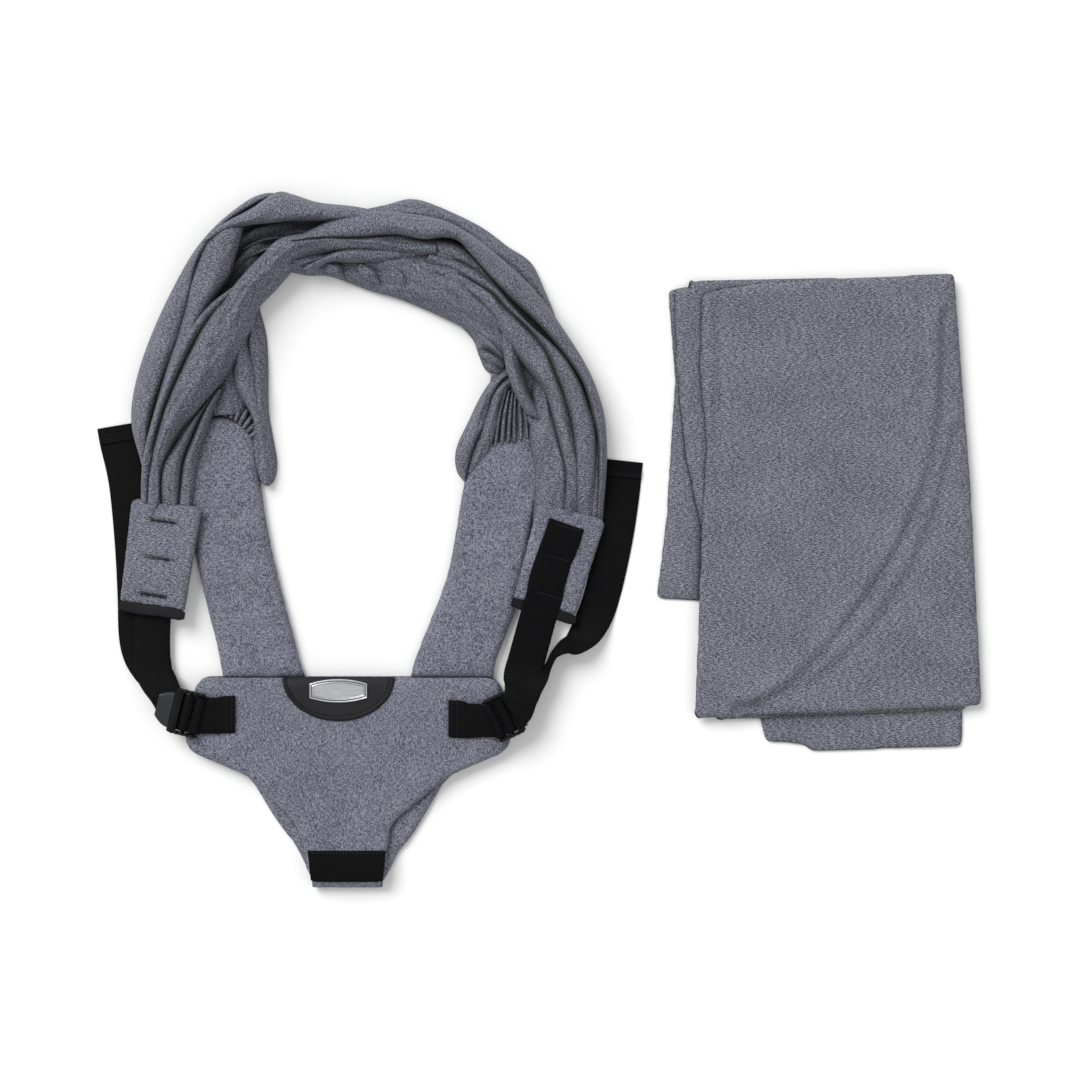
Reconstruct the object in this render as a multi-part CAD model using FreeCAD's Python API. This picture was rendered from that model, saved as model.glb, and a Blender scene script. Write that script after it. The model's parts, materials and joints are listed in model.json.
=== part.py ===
"""A buckled baby wrap sling laid flat: a padded pouch folded at the crotch, two padded shoulder
straps, two gathered jersey bands that cross behind the wearer, padded end tabs on webbing that runs
through ladder-lock buckles, and a folded support sash.

Millimetres. +Z is up, +X is the wearer's right-hand side of the laid-out sling and +Y runs from the
crotch towards the shoulder loop. The origin is the centre of the back panel's underside.
"""
import FreeCAD, Part
import math
import os

from FreeCAD import Placement, Rotation, Vector

# ---------------------------------------------------------------- driving dimensions
GAP = 0.1                    # clear space between neighbours that are sewn together
SKIN = 0.9                   # cover fabric
SEAM = 3.0                   # seam allowance between a pad's edge and its foam

WEBBING = 38.0               # width of the adjusting webbing
WEBBING_THICK = 1.5

PANEL_WIDTH = 340.0          # widest stretch of the pouch, between the two buckles
PANEL_TOP = 106.0            # +Y edge of the front panel
PANEL_BOTTOM = -108.0        # crotch fold
PANEL_THICK = 8.0
CROTCH_HALF = 38.0           # half width of the crotch

FRONT_Z = PANEL_THICK + 1.0  # underside of the front panel, which lies on the back panel
FRONT_TOP_Z = FRONT_Z + PANEL_THICK

STRAP_WIDTH = 82.0           # padded shoulder strap
STRAP_THICK = 12.0
STRAP_START_Y = PANEL_TOP + 4.0

TAB_WIDTH = 72.0             # padded end tab of a jersey band
TAB_LENGTH = 103.0
TAB_THICK = 9.0
TAB_TILT = 9.0               # the tab leans on the edge of the shoulder strap
TAB_MID_Z = 14.0
BINDING_DEPTH = 10.0
BINDING_THICK = 4.0

ARCH_CENTRE = Vector(20, 350, 0)
ARCH_RADIUS = 204.0          # centre line of the two crossed jersey bands
ARCH_HALF_WIDTH = 40.0
ARCH_LAYER = 10.5            # half the height that one band takes in the stack of two
ARCH_MID_Z = 21.5
BAND_GAP = 0.4               # half the gap between the two bands

LABEL_CENTRE = Vector(-8.5, PANEL_TOP - 0.5, 0)
LABEL_HALF_WIDTH = 57.5
LABEL_DEPTH = 45.0
LABEL_PIPING = 4.5
BADGE_LENGTH = 59.0
BADGE_HEIGHT = 24.0

BAR_RADIUS = 2.3             # bars of the ladder-lock buckle
BAR_PITCH = 11.3
LADDER_BAR_RISE = 1.9
BUCKLE_Z = 22.0
BUCKLE_PITCH = 3.0           # the free end of the buckle leans down
RAIL_WIDTH = 3.5
RAIL_HALF_HEIGHT = 2.8
TONGUE_END = 43.0

SASH_THICK = 14.0

PARTS = {}


def node(name, *solids):
    """Keeps one named sub-part: a solid, or a group of separate solids."""
    PARTS[name] = solids[0] if len(solids) == 1 else Part.makeCompound(list(solids))


# ---------------------------------------------------------------- outlines and solids
def rounded_outline(corners):
    """Closed wire through (x, y, radius) corners, each rounded by its own arc."""
    edges, count = [], len(corners)
    ends = []
    for i in range(count):
        x, y, radius = corners[i]
        here = Vector(x, y, 0)
        before = Vector(*corners[i - 1][:2], 0) - here
        after = Vector(*corners[(i + 1) % count][:2], 0) - here
        before.normalize()
        after.normalize()
        half = before.getAngle(after) / 2
        setback = radius / math.tan(half)
        bisector = (before + after).normalize()
        middle = here + bisector * (radius / math.sin(half) - radius)
        ends.append((here + before * setback, middle, here + after * setback))
    for i in range(count):
        start, middle, end = ends[i]
        edges.append(Part.Arc(start, middle, end).toShape())
        edges.append(Part.makeLine(end, ends[(i + 1) % count][0]))
    return Part.Wire(edges)


def plate(wire, bottom, top):
    """Flat solid on an outline in the XY plane, from z = bottom to z = top."""
    face = Part.Face(wire)
    face.translate(Vector(0, 0, bottom))
    return face.extrude(Vector(0, 0, top - bottom))


def shrunk(wire, inset):
    return Part.Face(wire).makeOffset2D(-inset).OuterWire


def pad(name, wire, bottom, thick):
    """Face fabric, foam and lining of one padded piece, as three separate solids."""
    core = shrunk(wire, SEAM)
    foam_outline = shrunk(core, GAP)
    middle, top = bottom + thick / 2, bottom + thick
    face = plate(wire, middle + GAP / 2, top).cut(plate(core, middle, top - SKIN))
    lining = plate(wire, bottom, middle - GAP / 2).cut(plate(core, bottom + SKIN, middle))
    foam = plate(foam_outline, bottom + SKIN + GAP, top - SKIN - GAP)
    return {name + "_face": face, name + "_foam": foam, name + "_lining": lining}


def smooth(points):
    curve = Part.BSplineCurve()
    curve.interpolate(points)
    return curve


def offset_line(points, offset, samples=9):
    """Spline that runs beside the line through the points, offset to its right."""
    curve = smooth(points)
    first, last = curve.FirstParameter, curve.LastParameter
    side = []
    for i in range(samples):
        at = first + (last - first) * i / (samples - 1)
        along = curve.tangent(at)[0]
        across = Vector(along.y, -along.x, 0).normalize()
        side.append(curve.value(at) + across * offset)
    return smooth(side)


def strap_outline(points, half_width, end_rise):
    """Outline of a padded strap along a centre line, with a round far end."""
    right = offset_line(points, half_width)
    left = offset_line(points, -half_width)
    along = smooth(points).tangent(smooth(points).LastParameter)[0]
    tip = points[-1] + along * end_rise
    right_end = right.value(right.LastParameter)
    left_end = left.value(left.LastParameter)
    cap = Part.Arc(right_end, tip, left_end).toShape()
    foot = Part.makeLine(left.value(left.FirstParameter), right.value(right.FirstParameter))
    return Part.Wire(Part.__sortEdges__([right.toShape(), cap, left.toShape(), foot]))


def ribbon(points, rolls, width=WEBBING, thick=WEBBING_THICK, sections=9):
    """Webbing along a line in space. Each roll, in degrees, tips the webbing about the line."""
    curve = smooth(points)
    first, last = curve.FirstParameter, curve.LastParameter
    wires = []
    for i in range(sections):
        share = i / (sections - 1)
        at = first + (last - first) * share
        along = curve.tangent(at)[0]
        step = share * (len(rolls) - 1)
        left = min(int(step), len(rolls) - 2)
        roll = math.radians(rolls[left] + (rolls[left + 1] - rolls[left]) * (step - left))
        level = Vector(along.y, -along.x, 0).normalize()
        rise = level.cross(along).normalize()
        across = level * math.cos(roll) + rise * math.sin(roll)
        normal = across.cross(along).normalize()
        centre = curve.value(at)
        corners = [centre + across * (a * width / 2) + normal * (b * thick / 2)
                   for a, b in ((-1, -1), (1, -1), (1, 1), (-1, 1))]
        wires.append(Part.makePolygon(corners + corners[:1]))
    return Part.makeLoft(wires, True, True)


def section(x, y, z, heading, half_wide, half_high, points=14):
    """Flat oval cross-section that stands across a heading given in degrees."""
    turn = math.radians(heading)
    across = Vector(math.sin(turn), -math.cos(turn), 0)
    ring = []
    for i in range(points):
        angle = 2 * math.pi * i / points
        side = across * (half_wide * math.cos(angle))
        ring.append(Vector(x, y, z + half_high * math.sin(angle)) + side)
    return Part.makePolygon(ring + ring[:1])


def loft(places):
    """Soft band through a row of oval cross-sections."""
    return Part.makeLoft([section(*place) for place in places], True, True)


def box(low, high):
    size = high - low
    return Part.makeBox(size.x, size.y, size.z, low)


# ---------------------------------------------------------------- pouch
def panel_outline(bottom, left_leg, right_leg):
    """The pouch's outline: a wide top with buckle corners, narrowing to the crotch.
    A leg corner is where the edge turns down to the crotch webbing, or None for a plain panel."""
    half = PANEL_WIDTH / 2
    right = [(half - 15, PANEL_TOP, 18), (half, 32, 20), (half - 67, 1, 36)]
    left = [(-x, y, radius) for x, y, radius in reversed(right)]
    if right_leg:
        right.append((*right_leg, 22))
    if left_leg:
        left.insert(0, (*left_leg, 22))
    foot = [(CROTCH_HALF, bottom, 3), (-CROTCH_HALF, bottom, 3)]
    return rounded_outline(right + foot + left)


def back_panel():
    outline = panel_outline(PANEL_BOTTOM, None, None)
    return pad("back_panel", outline, 0, PANEL_THICK)


def front_panel():
    outline = panel_outline(PANEL_BOTTOM + 2.5, (-54, -48), (46, -46))
    return pad("front_panel", outline, FRONT_Z, PANEL_THICK)


def crotch_fold():
    """Fabric that joins the two panels round the fold."""
    outline = rounded_outline([
        (CROTCH_HALF, PANEL_BOTTOM - GAP, 0.5), (CROTCH_HALF, PANEL_BOTTOM - 2.5, 0.5),
        (-CROTCH_HALF, PANEL_BOTTOM - 2.5, 0.5), (-CROTCH_HALF, PANEL_BOTTOM - GAP, 0.5)])
    return plate(outline, 1, FRONT_TOP_Z - 1)


def crotch_webbing():
    """Webbing sewn across the foot of the front panel."""
    low = Vector(-CROTCH_HALF + 0.5, PANEL_BOTTOM + 4, FRONT_TOP_Z + GAP)
    outline = rounded_outline([(x, y, 1) for x, y in (
        (low.x, low.y), (-low.x, low.y), (-low.x + 1, low.y + 32), (low.x - 1, low.y + 32))])
    return plate(outline, low.z, low.z + WEBBING_THICK)


def half_ellipse(half_width, depth):
    """Wire of the lower half of an ellipse, closed by its level top edge."""
    ellipse = Part.Ellipse(LABEL_CENTRE, half_width, depth)
    arc = Part.ArcOfEllipse(ellipse, math.pi, 2 * math.pi).toShape()
    ends = [vertex.Point for vertex in arc.Vertexes]
    return Part.Wire([arc, Part.makeLine(ends[1], ends[0])])


def label():
    """Half-round patch at the top edge, with a raised binding round it."""
    bottom = FRONT_TOP_Z + GAP
    inner = half_ellipse(LABEL_HALF_WIDTH - LABEL_PIPING, LABEL_DEPTH - LABEL_PIPING)
    core = half_ellipse(LABEL_HALF_WIDTH - LABEL_PIPING - GAP, LABEL_DEPTH - LABEL_PIPING - GAP)
    rim = plate(half_ellipse(LABEL_HALF_WIDTH, LABEL_DEPTH), bottom, bottom + 1.7)
    return plate(core, bottom, bottom + 1.2), rim.cut(plate(inner, bottom, bottom + 1.7))


def barrel_outline(length, height):
    """Plate outline with bowed long sides and short straight ends."""
    half, top, corner = length / 2, height / 2, height * 0.34
    upper = Part.Arc(Vector(-half, corner, 0), Vector(0, top, 0), Vector(half, corner, 0))
    lower = Part.Arc(Vector(half, -corner, 0), Vector(0, -top, 0), Vector(-half, -corner, 0))
    right = Part.makeLine(Vector(half, corner, 0), Vector(half, -corner, 0))
    left = Part.makeLine(Vector(-half, -corner, 0), Vector(-half, corner, 0))
    return Part.Wire([upper.toShape(), right, lower.toShape(), left])


def badge():
    """Blank metal plate with a raised rim."""
    bottom = FRONT_TOP_Z + GAP + 1.2 + GAP
    body = plate(barrel_outline(BADGE_LENGTH, BADGE_HEIGHT), bottom, bottom + 1.8)
    recess = plate(barrel_outline(BADGE_LENGTH - 4, BADGE_HEIGHT - 4.5), bottom + 1.2, bottom + 1.8)
    body = body.cut(recess)
    body.translate(Vector(LABEL_CENTRE.x, LABEL_CENTRE.y - BADGE_HEIGHT / 2 - 2, 0))
    return body


# ---------------------------------------------------------------- ladder-lock buckles
class Side:
    """Places that differ between the left and the right half of the sling."""

    def __init__(self, name, buckle, yaw, loop_end, tab, tab_heading, lean, run_over):
        self.name = name
        self.buckle = Vector(*buckle, BUCKLE_Z)      # centre of the buckle's loop bar
        self.yaw = yaw                               # way the buckle's tongue points
        self.loop_end = Vector(*loop_end, 0)         # sewn end of the buckle's webbing loop
        self.tab = Vector(*tab, TAB_MID_Z)           # centre of the padded tab
        self.tab_heading = tab_heading               # way from the webbing towards the jersey
        self.lean = lean                             # +1 if the tab's +X side is the high one
        self.run_over = run_over                     # webbing is sewn on the tab's upper face

    def buckle_place(self):
        """Local X runs from the loop bar to the tongue, local Y along the bars."""
        turn = Rotation(Vector(0, 0, 1), self.yaw) * Rotation(Vector(0, 1, 0), BUCKLE_PITCH)
        return Placement(self.buckle, turn)

    def tab_place(self):
        """Local Y runs along the tab towards the jersey band."""
        turn = Rotation(Vector(0, 0, 1), self.tab_heading - 90)
        return Placement(self.tab, turn * Rotation(Vector(0, 1, 0), -self.lean * TAB_TILT))

    def on_tab(self, across, along, up):
        return self.tab_place().multVec(Vector(across, along, up))


LEFT = Side("left", (-152, 66), 166, (-114, 67.5), (-192, 233), 82, 1, False)
RIGHT = Side("right", (151, 61), 25, (104, 63), (216.5, 226), 74, -1, True)


def bar(u, rise=0.0, radius=BAR_RADIUS):
    half = WEBBING / 2 + 2
    return Part.makeCylinder(radius, 2 * half, Vector(u, -half, rise), Vector(0, 1, 0))


def tongue():
    """Curved thumb plate beyond the ladder bar."""
    start, thick = 2 * BAR_PITCH, 2.2
    low, high = Vector(start, 0, LADDER_BAR_RISE), Vector(TONGUE_END, 0, LADDER_BAR_RISE + 2.2)
    middle = (low + high) / 2 + Vector(0, 0, -0.8)
    lift = Vector(0, 0, thick)
    side = Part.Wire([
        Part.Arc(low, middle, high).toShape(), Part.makeLine(high, high + lift),
        Part.Arc(high + lift, middle + lift, low + lift).toShape(), Part.makeLine(low + lift, low)])
    sheet = Part.Face(side)
    sheet.translate(Vector(0, -25, -thick / 2))
    sheet = sheet.extrude(Vector(0, 50, 0))
    half = WEBBING / 2 + 1
    plan = rounded_outline([
        (start - 1, -half, 1), (TONGUE_END, -half + 5, 6), (TONGUE_END, half - 5, 6), (start - 1, half, 1)])
    return sheet.common(plate(plan, -10, 15))


def ladder_lock(side):
    inner = WEBBING / 2 + 0.6
    body = bar(0).fuse([bar(BAR_PITCH, radius=2.2), bar(2 * BAR_PITCH, LADDER_BAR_RISE, 2.2), tongue()])
    for sign in (-1, 1):
        middle = sign * (inner + RAIL_WIDTH / 2)
        rail = box(Vector(-4, middle - RAIL_WIDTH / 2, -RAIL_HALF_HEIGHT),
                   Vector(2 * BAR_PITCH + 4, middle + RAIL_WIDTH / 2, RAIL_HALF_HEIGHT + 1))
        body = body.fuse(rail.makeFillet(1.2, rail.Edges))
    body = body.removeSplitter()
    body.Placement = side.buckle_place()
    return body


def bight(side):
    """Webbing wrapped round the centre bar, leaving under the ladder bar as two layers."""
    half = WEBBING / 2 - 0.2
    inner, outer = 2.2 + GAP, 2.2 + GAP + WEBBING_THICK
    start, axis = Vector(BAR_PITCH, -half, 0), Vector(0, 1, 0)
    wrap = Part.makeCylinder(outer, 2 * half, start, axis).cut(
        Part.makeCylinder(inner, 2 * half, start, axis))
    end = TONGUE_END - 4
    run = box(Vector(BAR_PITCH, -half, -outer), Vector(end, half, -inner))
    tail = box(Vector(BAR_PITCH + inner + 0.4, -half, -inner + GAP), Vector(end, half, -inner + GAP + 1.4))
    body = wrap.fuse([run, tail]).removeSplitter()
    body.Placement = side.buckle_place()
    return body


def buckle_loop(side):
    """Webbing sewn to the panel, folded round the buckle's loop bar."""
    half, reach = WEBBING / 2, 24.0
    inner, outer = BAR_RADIUS + GAP, BAR_RADIUS + GAP + WEBBING_THICK
    axis, start = Vector(0, 1, 0), Vector(0, -half, 0)
    foot = FRONT_TOP_Z + GAP - BUCKLE_Z
    wedge = Part.makePolygon([Vector(*p) for p in (
        (0, -half, outer), (0, -half, -outer), (-reach, -half, foot), (-reach, -half, foot + 3), (0, -half, outer))])
    hollow = Part.makePolygon([Vector(*p) for p in (
        (0, -half, inner), (0, -half, -inner), (-reach * 0.45, -half, -inner), (0, -half, inner))])
    along = Vector(0, 2 * half, 0)
    body = Part.Face(wedge).extrude(along).fuse(Part.makeCylinder(outer, 2 * half, start, axis))
    body = body.cut(Part.Face(hollow).extrude(along).fuse(Part.makeCylinder(inner, 2 * half, start, axis)))
    level = Rotation(Vector(0, 0, 1), side.yaw)
    body.Placement = Placement(side.buckle, level)
    away = side.loop_end - Vector(side.buckle.x, side.loop_end.y, 0)
    sign = math.copysign(1, away.x)
    inner_end = side.buckle.x + sign * 20
    bottom = FRONT_TOP_Z + GAP
    flat = box(Vector(min(inner_end, side.loop_end.x), side.loop_end.y - 19, bottom),
               Vector(max(inner_end, side.loop_end.x), side.loop_end.y + 19, bottom + 3))
    body = body.fuse(flat).removeSplitter()
    return body.cut(box(Vector(-300, -200, 0), Vector(300, 200, bottom)))


def bar_tack(centre, length, turn=0.0, width=1.6, height=0.6):
    tack = box(Vector(-length / 2, -width / 2, 0), Vector(length / 2, width / 2, height))
    tack.Placement = Placement(centre, Rotation(Vector(0, 0, 1), turn))
    return tack


def loop_bar_tacks():
    """Thread bars that hold the two webbing loops to the front panel."""
    top = FRONT_TOP_Z + GAP + 3 + 0.05
    tacks = []
    for side in (LEFT, RIGHT):
        inward = math.copysign(1, side.buckle.x - side.loop_end.x)
        for step in (3.0, 9.0):
            tacks.append(bar_tack(Vector(side.loop_end.x + inward * step, side.loop_end.y, top), 34, 90))
    return tacks


# ---------------------------------------------------------------- webbing, tabs and tails
LEFT_TAIL = [(-201, 112), (-213, 134), (-218, 180), (-222, 245), (-228, 305), (-237, 346), (-241, 364)]
RIGHT_TAIL = [(208, 112), (226, 138), (250, 166), (266, 200), (275, 245), (281, 290), (285, 328)]
HEM = 18.0


def tail(places):
    """Free end of the webbing, flat on the ground, with a folded and stitched hem."""
    low = WEBBING_THICK / 2
    points = [Vector(x, y, low) for x, y in places]
    strip = ribbon(points, (0, 0), width=WEBBING - 2, sections=15)
    end = points[-1]
    along = smooth(points).tangent(smooth(points).LastParameter)[0]
    start = end - along * HEM
    lift = Vector(0, 0, WEBBING_THICK + 0.1)
    hem = ribbon([start + lift, (start + end) / 2 + lift, end + lift], (0, 0), width=WEBBING - 2, sections=3)
    turn = ribbon([end + lift / 2 - along, end + lift / 2, end + lift / 2 + along], (0, 0),
                  width=WEBBING - 2, thick=2 * WEBBING_THICK + 0.1, sections=3)
    return strip.fuse([hem, turn]).removeSplitter()


def run(side, foot):
    """Webbing from the tab towards the buckle: sewn to the tab, then down to the ground."""
    face = TAB_THICK / 2 + WEBBING_THICK / 2 + GAP
    up = face if side.run_over else -face
    tilt = side.lean * TAB_TILT
    tab_end = -TAB_LENGTH / 2
    sewn = [side.on_tab(0, along, up) for along in (32, 0, tab_end)]
    edge = side.on_tab(0, tab_end - BINDING_DEPTH - 5, up)
    low = Vector(*foot, WEBBING_THICK * 1.5 + 0.3)
    sewn_part = ribbon(sewn, (-tilt, -tilt), sections=3)
    free_part = ribbon([sewn[-1], edge, (edge + low) / 2, low], (-tilt, -tilt, -tilt / 3, 0), sections=9)
    return sewn_part.fuse(free_part)


def strap_bend(path):
    """The stretch of both webbing layers on the ground between the buckle and the tab."""
    lower = [Vector(x, y, WEBBING_THICK / 2) for x, y in path]
    upper = [point + Vector(0, 0, WEBBING_THICK + 0.3) for point in lower]
    return (ribbon(lower, (0, 0), width=WEBBING - 2, sections=3),
            ribbon(upper, (0, 0), width=WEBBING - 2, sections=3))


def tab(side):
    half, far = TAB_WIDTH / 2, TAB_LENGTH / 2
    outline = rounded_outline([(-half, far, 8), (half, far, 8), (half - 3, -far, 2), (-half + 3, -far, 2)])
    layers = pad(side.name + "_tab", outline, -TAB_THICK / 2, TAB_THICK)
    wide = half - 2
    top = -far - GAP
    binding = plate(rounded_outline([
        (-wide, top, 1), (wide, top, 1), (wide, top - BINDING_DEPTH, 1), (-wide, top - BINDING_DEPTH, 1)]),
        -BINDING_THICK / 2, BINDING_THICK / 2)
    if side.run_over:
        level = TAB_THICK / 2 + WEBBING_THICK + 2 * GAP
    else:
        level = TAB_THICK / 2 + GAP
    tacks = [bar_tack(Vector(0, along, level), 28) for along in (29, -6, -44)]
    layers[side.name + "_tab_binding"] = binding
    layers[side.name + "_tab_bar_tacks"] = Part.makeCompound(tacks)
    for shape in layers.values():
        shape.Placement = side.tab_place()
    return layers


# ---------------------------------------------------------------- shoulder straps and jersey
LEFT_STRAP = [(-81, 88), (-104, 175), (-119, 240), (-129, 304), (-134, 350)]
RIGHT_STRAP = [(101, 88), (120, 146), (139, 197), (154, 276), (166, 326)]
STRAP_END_RISE = 24.0


def shoulder(name, places):
    """Padded shoulder strap, cut level where it is sewn to the back panel."""
    points = [Vector(x, y, 0) for x, y in places]
    middle = STRAP_THICK / 2

    def layer(inset, foot, bottom, top):
        outline = strap_outline(points, STRAP_WIDTH / 2 - inset, STRAP_END_RISE - inset)
        return plate(outline, bottom, top).cut(box(Vector(-300, 0, 0), Vector(300, foot, STRAP_THICK)))

    foot = STRAP_START_Y
    face = layer(0, foot, middle + GAP / 2, STRAP_THICK)
    face = face.cut(layer(SEAM, foot + SEAM, middle, STRAP_THICK - SKIN))
    lining = layer(0, foot, 0, middle - GAP / 2).cut(layer(SEAM, foot + SEAM, SKIN, middle))
    foam = layer(SEAM + GAP, foot + SEAM + GAP, SKIN + GAP, STRAP_THICK - SKIN - GAP)
    return {name + "_face": face, name + "_foam": foam, name + "_lining": lining}


def on_arch(theta, outward, z, half_wide, half_high):
    """Place of a cross-section at an angle round the arch; the outward shift is from its centre line."""
    angle, radius = math.radians(theta), ARCH_RADIUS + outward
    x = ARCH_CENTRE.x + radius * math.cos(angle)
    y = ARCH_CENTRE.y + radius * math.sin(angle)
    return (x, y, z, theta + 90, half_wide, half_high)


def jersey_bands():
    """Two gathered bands, each from a tab over the arch to the far shoulder strap. They are stacked
    round the crown, with the left tab's band on top, and lie side by side at both ends."""
    high, low = ARCH_MID_Z + ARCH_LAYER, ARCH_MID_Z - ARCH_LAYER
    crown = (140, 125, 110, 95, 80, 65, 50)
    wide, tall = ARCH_HALF_WIDTH, ARCH_LAYER - BAND_GAP
    left_places = [(-185, 288, 17, 262, 27, 5), (-186, 300, 20, 265, 27, 6.5), (-188, 325, 26, 268, 32, 8),
                   on_arch(172, 6, high, wide - 4, tall), on_arch(155, 3, high, wide - 2, tall)]
    left_places += [on_arch(theta, 0, high, wide, tall) for theta in crown]
    left_places += [on_arch(35, -12, high, wide - 2, tall), (175, 430, 29, 96, 30, 8),
                    (174, 402, 16, 80, 25, 7), (172, 364, 8, 68, 32, 6)]
    right_places = [(232, 282, 17, 82, 27, 5), (233, 294, 20, 85, 24, 6), (236, 322, 22, 90, 24, 8),
                    on_arch(8, 13, 18, 24, 8), on_arch(20, 8, low, 27, tall), on_arch(35, 2, low, 34, tall)]
    right_places += [on_arch(theta, 0, low, wide, tall) for theta in reversed(crown)]
    right_places += [on_arch(155, -14, low, wide - 6, tall), (-140, 389, 8, 285, 34, 6.5)]
    left_spill = [(-112, 440, 11, 290, 20, 8), (-93, 408, 9, 285, 14, 7), (-83, 365, 8, 275, 8, 6),
                  (-79, 330, 7, 270, 7, 5), (-81, 306, 6, 265, 3, 3)]
    right_spill = [(152, 415, 12, 70, 20, 8), (139, 385, 9, 65, 17, 7), (125, 357, 8, 70, 12, 6),
                   (112, 330, 7, 85, 7, 5), (111, 312, 6, 95, 3, 3)]
    return loft(left_places).fuse(loft(right_spill)), loft(right_places).fuse(loft(left_spill))


# ---------------------------------------------------------------- support sash
def sash():
    """One cloth folded into a flat stack: the broad top folds lie over shorter folds that show
    at the left and at the foot."""
    top = rounded_outline([
        (362, 511, 3), (623, 520, 3), (640, 300, 900), (652, 75, 4), (354, 62, 4), (364, 302, 900)])
    side = rounded_outline([
        (328, 502, 3), (345, 513, 4), (420, 500, 3), (420, 182, 3), (316, 185, 4), (334, 380, 600)])
    foot = rounded_outline([
        (404, 120, 3), (634, 120, 3), (632, 32, 4), (478, 27, 3), (425, 37, 8)])
    stack = plate(top, 0, SASH_THICK)
    return stack.fuse([plate(side, 0, SASH_THICK * 0.55), plate(foot, 0, SASH_THICK * 0.45)])


# ---------------------------------------------------------------- assembly
def build():
    for layers in (back_panel(), front_panel(), shoulder("left_shoulder", LEFT_STRAP),
                   shoulder("right_shoulder", RIGHT_STRAP), tab(LEFT), tab(RIGHT)):
        PARTS.update(layers)
    node("crotch_fold", crotch_fold())
    node("crotch_webbing", crotch_webbing())
    patch, piping = label()
    node("label_patch", patch)
    node("label_piping", piping)
    node("label_badge", badge())
    for side in (LEFT, RIGHT):
        node(side.name + "_buckle", ladder_lock(side))
        node(side.name + "_strap_bight", bight(side))
        node(side.name + "_buckle_loop", buckle_loop(side))
    node("loop_bar_tacks", *loop_bar_tacks())
    node("left_strap_run", run(LEFT, (-200, 127)))
    node("right_strap_run", run(RIGHT, (184, 127)))
    node("left_strap_bend", *strap_bend(((-189, 76), (-192, 83), (-195, 91))))
    node("right_strap_bend", *strap_bend(((179, 70), (183, 76), (187, 83))))
    node("left_strap_tail", tail(LEFT_TAIL))
    node("right_strap_tail", tail(RIGHT_TAIL))
    left_band, right_band = jersey_bands()
    node("left_jersey_band", left_band)
    node("right_jersey_band", right_band)
    node("support_sash", sash())


build()
os.makedirs("parts", exist_ok=True)
for name, shape in PARTS.items():
    shape.exportStep("parts/" + name + ".step")
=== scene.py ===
"""Looks of a baby wrap sling laid flat beside its folded support sash.

Lengths in this script are millimetres in the part's own frame, unless they say metres, and become metres
when a mesh is made. Left and right are as seen from above with the pouch towards the viewer.
"""
import json
import math

import bpy
import numpy as np
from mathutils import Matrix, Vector, noise
from mathutils.bvhtree import BVHTree
from mathutils.geometry import delaunay_2d_cdt


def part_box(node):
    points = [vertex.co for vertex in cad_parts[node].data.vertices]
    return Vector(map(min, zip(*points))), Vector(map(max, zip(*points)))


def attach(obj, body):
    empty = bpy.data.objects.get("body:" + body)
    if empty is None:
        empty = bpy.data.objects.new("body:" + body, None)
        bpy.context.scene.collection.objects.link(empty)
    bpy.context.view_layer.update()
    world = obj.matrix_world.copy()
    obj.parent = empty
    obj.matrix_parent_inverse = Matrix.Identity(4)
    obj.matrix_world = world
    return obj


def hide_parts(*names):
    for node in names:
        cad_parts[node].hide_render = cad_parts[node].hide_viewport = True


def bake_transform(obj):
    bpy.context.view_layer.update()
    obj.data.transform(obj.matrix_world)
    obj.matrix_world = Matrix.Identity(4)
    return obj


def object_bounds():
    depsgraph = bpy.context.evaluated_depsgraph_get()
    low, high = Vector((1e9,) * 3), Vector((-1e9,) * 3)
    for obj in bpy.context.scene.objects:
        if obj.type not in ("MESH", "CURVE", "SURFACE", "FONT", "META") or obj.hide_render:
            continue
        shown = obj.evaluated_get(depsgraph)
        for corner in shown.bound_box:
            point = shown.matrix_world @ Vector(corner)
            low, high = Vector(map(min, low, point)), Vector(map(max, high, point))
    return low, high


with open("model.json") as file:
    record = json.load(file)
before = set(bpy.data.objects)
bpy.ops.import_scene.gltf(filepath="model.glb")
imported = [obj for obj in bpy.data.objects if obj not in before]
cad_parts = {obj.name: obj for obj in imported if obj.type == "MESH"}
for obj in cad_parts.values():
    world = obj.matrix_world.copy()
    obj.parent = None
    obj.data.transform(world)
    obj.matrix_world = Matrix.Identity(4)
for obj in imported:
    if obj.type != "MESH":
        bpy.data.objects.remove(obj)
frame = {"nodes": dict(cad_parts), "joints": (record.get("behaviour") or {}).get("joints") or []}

CAD_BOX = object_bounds()
MM = 0.001
JOINTS = {joint["name"]: joint for joint in frame["joints"]}

WEBBING = 38.0
WEBBING_THICK = 1.5


# ---------------------------------------------------------------- materials
def srgb(*channels):
    """Linear colour from 0-255 display values."""
    shares = [c / 255 for c in channels]
    return tuple(s / 12.92 if s <= 0.04045 else ((s + 0.055) / 1.055) ** 2.4 for s in shares) + (1.0,)


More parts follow.
